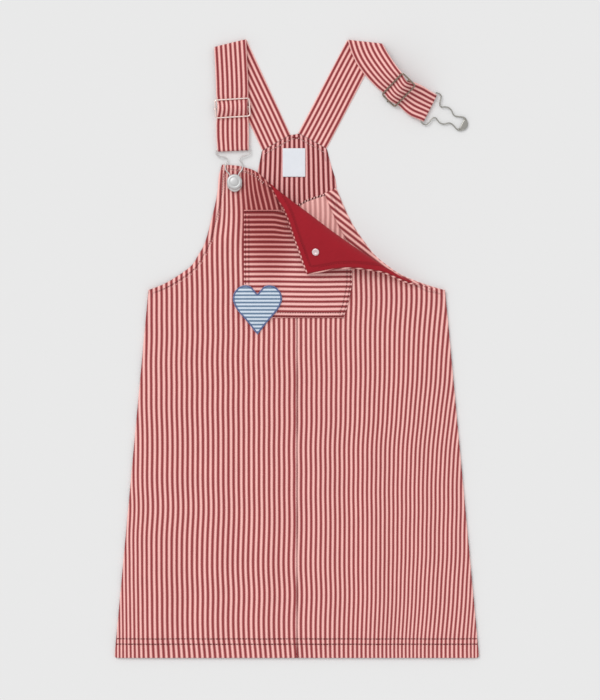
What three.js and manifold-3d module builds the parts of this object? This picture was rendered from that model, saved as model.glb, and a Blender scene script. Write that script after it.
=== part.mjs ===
// A child's pinafore dress in striped twill, laid flat on a surface with its front up.
// Millimetres, +Z up. The origin is on the surface, under the middle of the dress, +X is to the
// right as the dress is looked at from above and +Y goes from the hem towards the straps.
//
// Each piece of cloth is cut flat from an outline, which a grid of lines divides, and then laid.
// A panel's flat place (x, y) is where that point would lie if nothing were folded, and its rise
// is the height over the middle of the front's cloth, positive on the right side of the cloth.

import * as THREE from 'three';
import { mergeVertices } from 'three/addons/utils/BufferGeometryUtils.js';
import Module from 'manifold-3d';

const wasm = await Module();
wasm.setup();

// Cloth and seams
const clothThick = 1.2;
const thinCloth = 1.0;                  // facings, label and heart
const gap = 0.3;                        // between pieces that are sewn together or touch

// The dress
const hemLine = -309.5;
const underarmLine = 58.5;
const hemHalf = 182.2;
const underarmHalf = 148.4;
const hemCornerRadius = 2.5;
const backInset = 0.6;                  // the back's hem and sides lie this far inside the front's

// Heights of the middle of the front's cloth
const frontRest = 3.6;                  // over the back
const frontEdge = 2.1;                  // along the side seams
const frontHem = 2.6;
const frontSunk = 1.6;                  // where no back lies under it

// Half of the back's width over its armholes, and of the front's left armhole
const backArmhole = [
  { height: 58.5, half: 147.8 },
  { height: 63.5, half: 131 },
  { height: 73.5, half: 105.2 },
  { height: 83.5, half: 90.2 },
  { height: 93.5, half: 78.3 },
  { height: 103.5, half: 70.2 },
  { height: 123.5, half: 56.5 },
  { height: 143.5, half: 46.8 },
  { height: 160.8, half: 39.8 },
  { height: 200, half: 30 },
];
const frontArmhole = [
  { height: 58.5, half: 148.4 },
  { height: 63.5, half: 134.8 },
  { height: 73.5, half: 117.8 },
  { height: 83.5, half: 104.8 },
  { height: 93.5, half: 98.6 },
  { height: 103.5, half: 92.8 },
  { height: 123.5, half: 86.8 },
  { height: 153.5, half: 79.8 },
  { height: 173.5, half: 77.8 },
  { height: 183.9, half: 74.7 },
];

// The bib's neck edge, from its left corner to where the fold of the other corner begins
const neckEdge = [
  { x: -74.7, y: 183.9 },
  { x: -61.2, y: 183.1 },
  { x: -52, y: 181.2 },
  { x: -42.8, y: 178.2 },
  { x: -36.5, y: 173.8 },
  { x: -30.5, y: 168.2 },
];

// The turned-down corner of the bib. Its fold starts at foldStart and runs at foldAngle. Along it,
// edge says how far the fold's outer edge lies inside that line, and radius is that of its roll.
const foldStart = new THREE.Vector2(-27.85, 166.3);
const foldAngle = THREE.MathUtils.degToRad(-35.43);
const foldRows = [
  { along: -40, edge: -14, radius: 2.6 },
  { along: -14, edge: -8, radius: 2 },
  { along: 0, edge: -0.6, radius: 1.4 },
  { along: 6.4, edge: 0.6, radius: 1.9 },
  { along: 20, edge: 1.6, radius: 3.4 },
  { along: 45, edge: 2.4, radius: 6 },
  { along: 85, edge: 3.6, radius: 8 },
  { along: 120, edge: 3, radius: 7 },
  { along: 150, edge: 1.4, radius: 4.6 },
  { along: 168, edge: -0.4, radius: 3.2 },
  { along: 178, edge: -4, radius: 2.8 },
  { along: 191, edge: -12.5, radius: 2.6 },
  { along: 206, edge: -22, radius: 2.6 },
  { along: 260, edge: -60, radius: 2.6 },
];
// The corner's free edge as it lies: the distance from the fold line, over the front.
const flapEdge = [
  { along: 175, across: 0 },
  { along: 161.9, across: 3.8 },
  { along: 146.5, across: 7.9 },
  { along: 130, across: 15.8 },
  { along: 119.6, across: 21.6 },
  { along: 106.9, across: 31.2 },
  { along: 94.7, across: 43.6 },
  { along: 84.6, across: 53.3 },
  { along: 76, across: 47.8 },
  { along: 66, across: 40.6 },
  { along: 53, across: 31.7 },
  { along: 43.5, across: 24.8 },
  { along: 35, across: 18.6 },
  { along: 27, across: 14 },
  { along: 19.3, across: 10.9 },
  { along: 10.7, across: 6.8 },
  { along: 4.2, across: 3.4 },
  { along: 1, across: 1.2 },
];
const flapDrop = 12.2;                  // from the top of the roll down to the corner's tip
const flapReach = 40;                   // over this distance
const foldLift = 1.4;                   // of the front beside the fold
const rightTack = { along: 78.8, across: 30.4 };

// Soft ripples of the front: where each crosses the hem and the chest, its height and half width
const ripples = [
  { hem: -142, chest: -112, height: 1.7, half: 20 },
  { hem: -88, chest: -70, height: 1.3, half: 22 },
  { hem: -34, chest: -30, height: 1.9, half: 17 },
  { hem: 26, chest: 22, height: 1.2, half: 20 },
  { hem: 80, chest: 66, height: 1.8, half: 21 },
  { hem: 138, chest: 108, height: 1.4, half: 18 },
];

// Pocket and heart
const pocket = { left: -52.8, right: 55.2, top: 138.5, bottom: 30.5 };
// Its lower corners: how far in from the side, and how far up from the bottom
const pocketCorner = [
  { inward: 0, up: 33 },
  { inward: 3.3, up: 16.3 },
  { inward: 5, up: 9.7 },
  { inward: 8.7, up: 0 },
];
// Half of the heart's outline, from its notch round to its tip
const heartMiddle = -39.3;
const heartEdge = [
  { across: 0, y: 54.3 },
  { across: 2.7, y: 57.7 },
  { across: 6.1, y: 61.5 },
  { across: 9.6, y: 63 },
  { across: 13, y: 63.2 },
  { across: 17.2, y: 62 },
  { across: 20.6, y: 59.4 },
  { across: 23.2, y: 56 },
  { across: 24.3, y: 52.2 },
  { across: 24.5, y: 48.3 },
  { across: 23.2, y: 44 },
  { across: 21.1, y: 39.8 },
  { across: 17.2, y: 34.7 },
  { across: 8.7, y: 24.9 },
  { across: 2.7, y: 17 },
  { across: 0, y: 13.8 },
];

// Yoke, facing and label
const yokeRight = [
  { x: 32.4, y: 190.6 },
  { x: 35.2, y: 180.3 },
  { x: 38.5, y: 170.2 },
  { x: 39.8, y: 161.5 },
];
const yokeLeft = [
  { x: -37, y: 186.8 },
  { x: -39.2, y: 177 },
  { x: -40.2, y: 167.6 },
  { x: -39.8, y: 161.5 },
];
const yokeSeam = [
  { x: 39.5, y: 160.2 },
  { x: 33, y: 155.3 },
  { x: 21.2, y: 151.6 },
  { x: 9.6, y: 147.6 },
  { x: 0, y: 141.8 },
];
const facingWidth = 12.5;
const label = { x: -2.8, y: 186, width: 22.7, height: 28.6 };

// Straps. heading is the way the front stretch runs, lift the height of the plane of its slider
// and its clip, and twist how far that plane turns about the strap. barPinch is how much narrower
// the strap is round the clip's bar.
const strapWidth = 32.2;
const strapRoll = 1.8;
const wireRadius = 0.8;
const clipRadius = 0.65;
const wrap = wireRadius + gap + clothThick / 2;
const barWrap = clipRadius + gap + clothThick / 2;
const straps = [
  {
    side: 'left',
    top: { x: -66.6, y: 305.6 },
    foldTurn: 13.8,
    yokeCorners: [{ x: -34.9, y: 197.3 }, { x: -6.5, y: 213.4 }],
    slider: 65.4,
    sliderTurn: 3.3,
    sliderAside: 0,
    bar: 106,
    barPinch: 0.03,
    rows: [
      { along: 0, heading: -87.2, lift: 4.2, twist: 0 },
      { along: 35, heading: -87.6, lift: 4.9, twist: 0 },
      { along: 65.4, heading: -89.8, lift: 5.5, twist: 0 },
      { along: 80, heading: -90, lift: 5.0, twist: 0 },
      { along: 106, heading: -87.4, lift: 2.4, twist: 0 },
    ],
    clipTilt: 3.2,
  },
  {
    side: 'right',
    top: { x: 68.2, y: 307 },
    foldTurn: -6.3,
    yokeCorners: [{ x: 2, y: 215 }, { x: 30.2, y: 199.6 }],
    slider: 60.3,
    sliderTurn: -2.5,
    sliderAside: -0.1,
    bar: 95,
    barPinch: 0.07,
    rows: [
      { along: 0, heading: -74.8, lift: 4.2, twist: 0 },
      { along: 20, heading: -59, lift: 6.6, twist: 14 },
      { along: 38, heading: -52.5, lift: 10.4, twist: 28 },
      { along: 50, heading: -46, lift: 12.6, twist: 35 },
      { along: 60.3, heading: -42, lift: 13, twist: 35 },
      { along: 70, heading: -30, lift: 12.6, twist: 34 },
      { along: 83, heading: -24, lift: 7.6, twist: 14 },
      { along: 95, heading: -26.5, lift: 2.4, twist: 0 },
    ],
    clipTilt: -1.2,
  },
];

// Hardware
const sliderHalf = { wide: 17.1, long: 8.9 };
const sliderNub = 1.8;
const sliderPinch = 0.08;                // how much narrower the strap is inside the slider
const clipEdge = [
  { reach: -2.15, half: 15.9 },
  { reach: -1.1, half: 16.8 },
  { reach: 2.6, half: 16.9 },
  { reach: 4.6, half: 14.6 },
  { reach: 5.8, half: 9.4 },
  { reach: 7.4, half: 6.6 },
  { reach: 9.6, half: 6.4 },
  { reach: 12.2, half: 7.8 },
  { reach: 15.6, half: 8.7 },
  { reach: 19.4, half: 7.8 },
  { reach: 22.4, half: 5.2 },
  { reach: 25, half: 4.3 },
  { reach: 28, half: 4.9 },
  { reach: 31.5, half: 6.3 },
  { reach: 34.5, half: 6.9 },
  { reach: 37.2, half: 5.6 },
  { reach: 39.4, half: 2.9 },
];
const clipPlate = { from: 34.8, to: 41, half: 5.9, thick: 1.2 };
const button = { x: -62.2, y: 166.5, radius: 7.65, shank: 2.9, under: 3.3, dome: 2.5 };
const tack = { radius: 3.65, thick: 0.7 };

// Colours and finishes
const finish = (color, roughness, metalness = 0) => ({ color, roughness, metalness });
const stripedTwill = finish(0xcf6f6f, 0.9);
const redTwill = finish(0xa32334, 0.9);
const blueStripe = finish(0x8db4dc, 0.9);
const whiteTape = finish(0xe8e8ea, 0.8);
const steel = finish(0xb9b9b6, 0.3, 1);

// Small helpers

const { cos, sin, PI, min, max, asin, hypot } = Math;
const radians = THREE.MathUtils.degToRad;

// 0 below low, 1 over high, and a smooth rise between them
function rise(value, low, high) {
  return THREE.MathUtils.smoothstep(value, low, high);
}

// A smooth value between the rows of a table, which are in the order of their key
function between(rows, key, at, column) {
  const last = rows.length - 1;
  if (at <= rows[0][key]) return rows[0][column];
  if (at >= rows[last][key]) return rows[last][column];
  const next = rows.findIndex((row) => row[key] > at);
  const slope = (index) => {
    const before = rows[max(index - 1, 0)];
    const after = rows[min(index + 1, last)];
    return (after[column] - before[column]) / (after[key] - before[key]);
  };
  const low = rows[next - 1];
  const high = rows[next];
  const span = high[key] - low[key];
  const t = (at - low[key]) / span;
  const keepLow = (1 + 2 * t) * (1 - t) ** 2;
  const keepHigh = t * t * (3 - 2 * t);
  const fromLow = t * (1 - t) ** 2 * span * slope(next - 1);
  const fromHigh = t * t * (t - 1) * span * slope(next);
  return keepLow * low[column] + keepHigh * high[column] + fromLow + fromHigh;
}

function stops(from, to, step) {
  const count = max(1, Math.round((to - from) / step));
  return Array.from({ length: count + 1 }, (_, index) => from + (to - from) * index / count);
}

// Cutting cloth

// What is left of an outline on one side of a line across one axis
function clip(outline, axis, limit, side) {
  const kept = [];
  outline.forEach((point, index) => {
    const next = outline[(index + 1) % outline.length];
    const here = side * (point[axis] - limit);
    const there = side * (next[axis] - limit);
    if (here >= 0) kept.push(point);
    if (here * there < 0) {
      const share = here / (here - there);
      const crossing = [0, 1].map((k) => point[k] + share * (next[k] - point[k]));
      crossing[axis] = limit;
      kept.push(crossing);
    }
  });
  return kept;
}

// A piece of cloth: the outline is divided by grid lines across the first axis and across the
// second, and place(first, second, rise) puts each of its points on either face.
function cloth(outline, firstStops, secondStops, place, thick, middle = 0) {
  const flat = [];
  const known = new Map();
  const triangles = [];
  const pointAt = (point) => {
    const name = point.map((value) => Math.round(value * 1e4)).join();
    if (!known.has(name)) {
      known.set(name, flat.length);
      flat.push(point);
    }
    return known.get(name);
  };
  for (let row = 0; row + 1 < secondStops.length; row += 1) {
    const above = clip(outline, 1, secondStops[row], 1);
    const band = clip(above, 1, secondStops[row + 1], -1);
    for (let column = 0; column + 1 < firstStops.length; column += 1) {
      const right = clip(band, 0, firstStops[column], 1);
      const cell = clip(right, 0, firstStops[column + 1], -1);
      if (cell.length < 3) continue;
      const corners = cell.map((point) => new THREE.Vector2(...point));
      if (Math.abs(THREE.ShapeUtils.area(corners)) < 1e-3) continue;
      for (const face of THREE.ShapeUtils.triangulateShape(corners, [])) {
        const [a, b, c] = face.map((index) => pointAt(cell[index]));
        if (a !== b && b !== c && c !== a) triangles.push([a, b, c]);
      }
    }
  }
  return wall(flat, triangles, place, thick, middle);
}

// The closed wall over flat triangles: both faces, and a rim along each edge used once
function wall(flat, triangles, place, thick, middle) {
  const under = flat.length;
  const positions = [];
  for (const half of [thick / 2, -thick / 2]) {
    for (const point of flat) positions.push(...place(point[0], point[1], middle + half));
  }
  const used = new Set();
  const index = [];
  for (const [a, b, c] of triangles) {
    index.push(a, b, c, under + a, under + c, under + b);
    for (const [from, to] of [[a, b], [b, c], [c, a]]) used.add(`${from}:${to}`);
  }
  for (const edge of used) {
    const [from, to] = edge.split(':').map(Number);
    if (used.has(`${to}:${from}`)) continue;
    index.push(from, under + from, under + to, from, under + to, to);
  }
  const geometry = new THREE.BufferGeometry();
  geometry.setAttribute('position', new THREE.Float32BufferAttribute(positions, 3));
  geometry.setIndex(index);
  return geometry;
}

// The folded front

const foldWay = new THREE.Vector2(cos(foldAngle), sin(foldAngle));
const foldOut = new THREE.Vector2(-foldWay.y, foldWay.x);
const facingGap = 0.45;                 // round a fold the layers lie less close
const facingMiddle = -(clothThick / 2 + facingGap + thinCloth / 2);
const facingFace = clothThick / 2 + facingGap + thinCloth;

// Flat place to and from the distances along the fold line and beyond it
function toFold(x, y) {
  const from = new THREE.Vector2(x, y).sub(foldStart);
  return [from.dot(foldWay), from.dot(foldOut)];
}

function fromFold(along, beyond) {
  const place = foldStart.clone().addScaledVector(foldWay, along).addScaledVector(foldOut, beyond);
  return [place.x, place.y];
}

// Where the roll begins, and its radius
function rollAt(along) {
  const radius = between(foldRows, 'along', along, 'radius');
  const edge = between(foldRows, 'along', along, 'edge');
  return { radius, edge, begin: -edge - radius - facingFace };
}

// The flat place of a point of the turned-down corner, from where it lies
function unfold({ along, across }) {
  const { radius, edge, begin } = rollAt(along);
  const outer = radius + facingFace;
  const width = across - edge;
  const length = width < outer ? radius * (PI - asin(1 - width / outer)) : PI * radius + width - outer;
  return fromFold(along, begin + length);
}

// The height of the middle of the front's cloth where it isn't folded
function frontHeight(x, y) {
  const sideHalf = hemHalf + (underarmHalf - hemHalf) * (y - hemLine) / (underarmLine - hemLine);
  const fromSide = y < underarmLine ? rise(sideHalf - Math.abs(x), 0, 16) : 1;
  const fromHem = rise(y, hemLine, hemLine + 24);
  const rest = frontEdge + (frontHem - frontEdge) * fromSide + (frontRest - frontHem) * fromSide * fromHem;
  const backHalf = between(backArmhole, 'height', y, 'half');
  const sunk = x < 0 && y > underarmLine ? rise(-x - backHalf, 2, 18) : 0;
  const down = rise(hemLine + underarmLine - y, hemLine - 40, 40);
  let waves = 0;
  for (const ripple of ripples) {
    const share = (y - hemLine) / (underarmLine - hemLine);
    const middle = ripple.hem + (ripple.chest - ripple.hem) * share;
    const near = max(0, 1 - ((x - middle) / ripple.half) ** 2);
    waves += ripple.height * near * near;
  }
  const [along, beyond] = toFold(x, y);
  const { begin } = rollAt(along);
  const beside = rise(beyond, begin - 34, begin) * rise(along, 0, 24) * rise(215 - along, 0, 30);
  return rest + (frontSunk - rest) * sunk + waves * down * fromSide * fromHem + foldLift * beside;
}

// A point of the front, or of what is sewn on it, laid and folded
function layFront(x, y, up) {
  const [along, beyond] = toFold(x, y);
  const { radius, begin } = rollAt(along);
  const length = beyond - begin;
  if (length <= 0) return [x, y, frontHeight(x, y) + up];
  const foot = fromFold(along, begin);
  const base = frontHeight(...foot);
  const turn = min(length / radius, PI);
  const over = max(0, length - PI * radius);
  const fall = flapDrop * (over / flapReach) ** 1.5 * min(1, radius / 6);
  const out = (radius - up) * sin(turn) - over;
  const height = base + radius - (radius - up) * cos(turn) - fall;
  return [foot[0] + out * foldOut.x, foot[1] + out * foldOut.y, height];
}

function sideFrame(rows, mirror) {
  return rows.map((row) => [mirror * row.half, row.height]);
}

function frontOutline() {
  const corner = (side) => stops(0, 1, 0.34).map((share) => {
    const turn = (side < 0 ? 1 + share / 2 : 1.5 + share / 2) * PI;
    const middle = side * (hemHalf - hemCornerRadius);
    return [middle + hemCornerRadius * cos(turn), hemLine + hemCornerRadius * (1 + sin(turn))];
  });
  const flap = flapEdge.map(unfold);
  const neck = neckEdge.map(({ x, y }) => [x, y]).reverse();
  const armhole = sideFrame(frontArmhole, -1).reverse().slice(1);
  return [
    ...corner(-1),
    ...corner(1),
    [underarmHalf, underarmLine],
    [131.5, 61.6],
    ...flap,
    ...neck,
    ...armhole,
  ];
}

// Pieces that follow the fold are cut by lines along and across it
const beyondStops = [...stops(-485, -35, 18), -26, ...stops(-19, 14, 2.7), ...stops(20, 80, 9)];
const alongStops = [
  ...stops(-65, -22, 14),
  ...stops(-14, 28, 6),
  ...stops(40, 135, 14),
  ...stops(143, 199, 8),
  ...stops(213, 455, 17),
];

function foldedCloth(outline, thick, middle) {
  const turned = outline.map(([x, y]) => toFold(x, y));
  const place = (along, beyond, up) => layFront(...fromFold(along, beyond), up);
  return cloth(turned, alongStops, beyondStops, place, thick, middle);
}

// Body pieces

function frontPanel(side) {
  const half = clip(frontOutline(), 0, side * gap / 2, side);
  return foldedCloth(half, clothThick, 0);
}

// The facing shows on the turned-down corner and round its fold
function bibFacing() {
  const inset = 0.9;
  const under = 2.5;
  const edge = flapEdge.map(({ along, across }) => {
    const [, beyond] = toFold(...unfold({ along, across }));
    return [along, beyond];
  });
  const tipRow = edge.reduce((best, row) => (row[1] > best[1] ? row : best));
  const inner = edge.map(([along, beyond]) => {
    const side = along > tipRow[0] ? -1 : along < tipRow[0] ? 1 : 0;
    return [along + side * inset, beyond - inset];
  });
  const low = stops(inner[inner.length - 1][0], inner[0][0], 12).map((along) => {
    return [along, rollAt(along).begin - under];
  });
  const place = (along, beyond, up) => layFront(...fromFold(along, beyond), up);
  return cloth([...inner, ...low], alongStops, beyondStops, place, thinCloth, facingMiddle);
}

const pocketMiddle = clothThick + gap;
function pocketOutline() {
  const { left, right, top, bottom } = pocket;
  return [
    ...pocketCorner.map(({ inward, up }) => [left + inward, bottom + up]),
    ...[...pocketCorner].reverse().map(({ inward, up }) => [right - inward, bottom + up]),
    [right, top],
    [left, top],
  ];
}

// The heart lies partly on the pocket and partly on the front
function heartPatch() {
  const low = clothThick / 2 + gap + thinCloth / 2;
  const high = low + clothThick + gap;
  const right = heartEdge.map(({ across, y }) => [heartMiddle + across, y]);
  const left = heartEdge.slice(1, -1).map(({ across, y }) => [heartMiddle - across, y]);
  const outline = [...left, ...right.reverse()];
  const place = (x, y, up) => {
    const outside = hypot(max(0, pocket.left - x), max(0, pocket.bottom - y));
    return layFront(x, y, up + high + (low - high) * rise(outside, 1, 5));
  };
  const acrossStops = stops(heartMiddle - 26, heartMiddle + 26, 5.2);
  return cloth(outline, acrossStops, stops(12, 65, 5.3), place, thinCloth);
}

const flatOn = (height) => (x, y, up) => [x, y, height + up];
const backHeight = clothThick / 2;

function backOutline() {
  const inset = backInset;
  const seam = yokeSeam.map(({ x, y }) => [x + (x > 0 ? 0.5 : 0), y - 1.5 * gap]);
  const mirrored = seam.slice(0, -1).reverse().map(([x, y]) => [-x, y]);
  const right = sideFrame(backArmhole.slice(0, -2), 1);
  const left = sideFrame(backArmhole.slice(0, -2), -1).reverse();
  return [
    [-hemHalf + inset + 4, hemLine + inset],
    [hemHalf - inset - 4, hemLine + inset],
    [hemHalf - inset, hemLine + inset + 4],
    ...right,
    ...seam,
    ...mirrored,
    ...left,
    [-hemHalf + inset, hemLine + inset + 4],
  ];
}

function backSkirt() {
  return cloth(backOutline(), stops(-183, 183, 61), stops(-310, 162, 59), flatOn(backHeight), clothThick);
}

function backYoke() {
  const seam = yokeSeam.map(({ x, y }) => [x, y]);
  const right = yokeRight.map(({ x, y }) => [x, y]);
  const left = yokeLeft.map(({ x, y }) => [x, y]);
  const corners = straps.flatMap(({ yokeCorners }) => yokeCorners).map(({ x, y }) => [x, y]);
  const outline = [
    ...[...seam].slice(0, -1).map(([x, y]) => [-x, y]),
    ...[...seam].reverse(),
    ...right.reverse(),
    ...corners.reverse(),
    ...left,
  ];
  return cloth(outline, stops(-40, 40, 16), stops(141, 212, 18), flatOn(backHeight), clothThick);
}

// The bias strip inside the back's right armhole, as far as it shows
function armholeFacing() {
  const rows = backArmhole.slice(1, -1).reverse();
  const outer = rows.map((row) => new THREE.Vector2(row.half - 0.6, row.height - 0.6));
  const inner = outer.map((point, index) => {
    const before = outer[max(0, index - 1)];
    const after = outer[min(outer.length - 1, index + 1)];
    const way = after.clone().sub(before).normalize();
    return point.clone().add(new THREE.Vector2(way.y, -way.x).multiplyScalar(facingWidth));
  });
  const ring = [...outer.reverse(), ...inner].map(({ x, y }) => [x, y]);
  const height = clothThick + gap + thinCloth / 2;
  return cloth(ring, stops(20, 140, 12), stops(40, 170, 12), flatOn(height), thinCloth);
}

function neckLabel() {
  const { x, y, width, height } = label;
  const outline = [
    [x - width / 2, y - height / 2],
    [x + width / 2, y - height / 2],
    [x + width / 2, y + height / 2],
    [x - width / 2, y + height / 2],
  ];
  const up = clothThick + gap + thinCloth / 2;
  return cloth(outline, stops(x - 12, x + 12, 8), stops(y - 15, y + 15, 8), flatOn(up), thinCloth);
}

// Straps

// The front stretch as a run of steps from the top fold, each on from the last by its heading
function strapRun(strap) {
  const step = 0.5;
  const places = [];
  let { x, y } = strap.top;
  for (let along = 0; along <= strap.bar + 4; along += step) {
    places.push([x, y]);
    const heading = radians(between(strap.rows, 'along', along + step / 2, 'heading'));
    x += step * cos(heading);
    y += step * sin(heading);
  }
  return (along) => {
    const heading = radians(between(strap.rows, 'along', along, 'heading'));
    const way = [cos(heading), sin(heading)];
    if (along <= 0) return { at: places[0].map((value, k) => value + along * way[k]), way };
    const index = min(Math.floor(along / step), places.length - 2);
    const share = along / step - index;
    const at = places[index].map((value, k) => value + share * (places[index + 1][k] - value));
    return { at, way };
  };
}

// Where the cloth's middle lies over the plane of the slider and the clip, on its way down, and
// under that plane on its way back up to the slider's middle bar
function strapOffsets(strap) {
  const { slider, bar } = strap;
  const { long } = sliderHalf;
  const down = [
    { along: 0, offset: 0 },
    { along: slider - long - 14, offset: -1.2 },
    { along: slider - long - 4, offset: -wrap },
    { along: slider - long, offset: -wrap - 0.1 },
    { along: slider - 2.2, offset: wrap - 0.1 },
    { along: slider, offset: wrap + 0.15 },
    { along: slider + 2.2, offset: wrap - 0.1 },
    { along: slider + long, offset: -wrap - 0.1 },
    { along: slider + long + 4, offset: -wrap },
    { along: bar - 7, offset: barWrap - 0.9 },
    { along: bar, offset: barWrap },
  ];
  const layers = clothThick + gap + 0.1;
  const back = [
    { along: slider + 1, offset: -wrap - 0.2 },
    { along: slider + long - 3, offset: -wrap - layers },
    { along: slider + long + 5, offset: -wrap - layers },
    { along: bar - 12, offset: -wrap - 0.6 },
    { along: bar, offset: -barWrap },
  ];
  return { down, back };
}

// A function that lays a strap: across and along it in its flat cut, and rise over its middle
function layStrap(strap) {
  const run = strapRun(strap);
  const { down, back } = strapOffsets(strap);
  const foldWayOf = radians(strap.foldTurn);
  const beyondWay = [-sin(foldWayOf), cos(foldWayOf)];
  const topHeight = strap.rows[0].lift;
  const turned = (across, along, offset) => {
    const { at, way } = run(along);
    const twist = radians(between(strap.rows, 'along', along, 'twist'));
    const lift = between(strap.rows, 'along', along, 'lift');
    const near = max(0, 1 - ((along - strap.slider) / 16) ** 2);
    const end = max(0, 1 - ((along - strap.bar) / 14) ** 2);
    const out = across * (1 - sliderPinch * near * near - strap.barPinch * end * end);
    const side = out * cos(twist) + offset * sin(twist);
    const up = offset * cos(twist) - out * sin(twist);
    return [at[0] + side * way[1], at[1] - side * way[0], lift + up];
  };
  const place = (across, along, up) => {
    const tilt = Math.tan(radians(strap.sliderTurn)) * across;
    if (along > strap.bar) {
      const past = along - strap.bar;
      const turn = min(past / barWrap, PI);
      const over = max(0, past - PI * barWrap);
      const at = strap.bar - over;
      if (turn < PI) {
        const [x, y, z] = turned(across, strap.bar, (barWrap + up) * cos(turn));
        const { way } = run(strap.bar);
        const out = (barWrap + up) * sin(turn);
        return [x + out * way[0], y + out * way[1], z];
      }
      const offset = between(back, 'along', at - tilt * rise(strap.bar - at, 0, 20), 'offset');
      return turned(across, at, offset - up);
    }
    const { at, way } = run(along);
    const flat = [at[0] + across * way[1], at[1] - across * way[0]];
    const from = [flat[0] - strap.top.x, flat[1] - strap.top.y];
    const length = from[0] * beyondWay[0] + from[1] * beyondWay[1] + strapRoll + clothThick / 2;
    if (along > 25 || length <= 0) {
      const shifted = along - tilt * rise(along, 10, 30) * rise(strap.bar - along, 0, 20);
      return turned(across, along, between(down, 'along', shifted, 'offset') + up);
    }
    const turn = min(length / strapRoll, PI);
    const over = max(0, length - PI * strapRoll);
    const shift = (strapRoll + up) * sin(turn) - over - length;
    const height = topHeight - strapRoll + (strapRoll + up) * cos(turn);
    return [flat[0] + shift * beyondWay[0], flat[1] + shift * beyondWay[1], height];
  };
  return { place, turned, run, beyondWay };
}

// The strap is cut square at its loose end and to the yoke's edge at the other
function strapCloth(strap, laid) {
  const { beyondWay, run } = laid;
  const { way } = run(0);
  const start = clothThick / 2 + strapRoll;
  const flatOf = ({ x, y }) => {
    const from = [x - strap.top.x, y - strap.top.y];
    const reach = from[0] * beyondWay[0] + from[1] * beyondWay[1];
    const shift = PI * strapRoll - 2 * start - 2 * reach;
    const flat = [from[0] + shift * beyondWay[0], from[1] + shift * beyondWay[1]];
    return { across: flat[0] * way[1] - flat[1] * way[0], along: flat[0] * way[0] + flat[1] * way[1] };
  };
  const [first, second] = strap.yokeCorners.map(flatOf);
  const slope = (second.along - first.along) / (second.across - first.across);
  const half = strapWidth / 2;
  const endAt = (across) => first.along + slope * (across - first.across) + gap;
  const last = strap.bar + PI * barWrap + strap.bar - strap.slider - 1.5;
  const outline = [
    [half, endAt(half)],
    [half, last],
    [-half, last],
    [-half, endAt(-half)],
  ];
  const { slider, bar } = strap;
  const { long } = sliderHalf;
  const lengthStops = [
    ...stops(-150, -18, 22),
    ...stops(-16, 16, 1.8),
    ...stops(20, slider - long - 6, 8),
    ...stops(slider - long - 3, slider + long + 3, 1.9),
    ...stops(slider + long + 6, bar - 2, 6),
    ...stops(bar, bar + PI * barWrap, 0.9),
    ...stops(bar + PI * barWrap + 4, last + 1, 6),
  ];
  return cloth(outline, stops(-half, half, 10.4), lengthStops, laid.place, clothThick);
}

// Hardware

// A round wire bent in a plane, through corners given in order
function bentWire(points, radius, closed, sides = 6) {
  const count = points.length;
  const positions = [];
  const index = [];
  points.forEach((point, at) => {
    const before = points[closed ? (at + count - 1) % count : max(0, at - 1)];
    const after = points[closed ? (at + 1) % count : min(count - 1, at + 1)];
    const incoming = point.clone().sub(before).normalize();
    const outgoing = after.clone().sub(point).normalize();
    if (incoming.lengthSq() === 0) incoming.copy(outgoing);
    if (outgoing.lengthSq() === 0) outgoing.copy(incoming);
    const way = incoming.clone().add(outgoing).normalize();
    const spread = 1 / max(0.5, way.dot(outgoing));
    for (let side = 0; side < sides; side += 1) {
      const turn = 2 * PI * side / sides;
      const out = radius * cos(turn) * spread;
      positions.push(point.x + out * way.y, point.y - out * way.x, radius * sin(turn));
    }
  });
  const rings = closed ? count : count - 1;
  for (let ring = 0; ring < rings; ring += 1) {
    const next = (ring + 1) % count;
    for (let side = 0; side < sides; side += 1) {
      const turn = (side + 1) % sides;
      const [a, b] = [ring * sides + side, ring * sides + turn];
      const [c, d] = [next * sides + turn, next * sides + side];
      index.push(a, c, b, a, d, c);
    }
  }
  if (!closed) {
    for (let side = 1; side + 1 < sides; side += 1) {
      index.push(0, side, side + 1);
      const end = (count - 1) * sides;
      index.push(end, end + side + 1, end + side);
    }
  }
  const geometry = new THREE.BufferGeometry();
  geometry.setAttribute('position', new THREE.Float32BufferAttribute(positions, 3));
  geometry.setIndex(index);
  return geometry;
}

function solid(geometry) {
  const bare = geometry.clone();
  for (const name of ['normal', 'uv']) bare.deleteAttribute(name);
  const merged = mergeVertices(bare, 1e-4);
  const vertProperties = new Float32Array(merged.attributes.position.array);
  const triVerts = new Uint32Array(merged.index.array);
  return new wasm.Manifold(new wasm.Mesh({ numProp: 3, vertProperties, triVerts }));
}

function join(...geometries) {
  const whole = geometries.map(solid).reduce((sum, next) => sum.add(next));
  const { vertProperties, triVerts } = whole.getMesh();
  const geometry = new THREE.BufferGeometry();
  geometry.setAttribute('position', new THREE.BufferAttribute(new Float32Array(vertProperties), 3));
  geometry.setIndex(new THREE.BufferAttribute(new Uint32Array(triVerts), 1));
  return geometry;
}

// The slider lies in its own plane, X across the strap and Y along it
function sliderWires() {
  const { wide, long } = sliderHalf;
  const round = 2.2;
  const frame = [];
  for (let quarter = 0; quarter < 4; quarter += 1) {
    const middleX = (quarter === 0 || quarter === 3 ? 1 : -1) * (wide - round);
    const middleY = (quarter < 2 ? 1 : -1) * (long - round);
    for (const share of [0, 1 / 3, 2 / 3, 1]) {
      const turn = (quarter + share) * PI / 2;
      frame.push(new THREE.Vector2(middleX + round * cos(turn), middleY + round * sin(turn)));
    }
  }
  const bar = [new THREE.Vector2(-wide, 0), new THREE.Vector2(wide + sliderNub, 0)];
  return join(bentWire(frame, wireRadius, true), bentWire(bar, wireRadius * 0.9, false));
}

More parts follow.
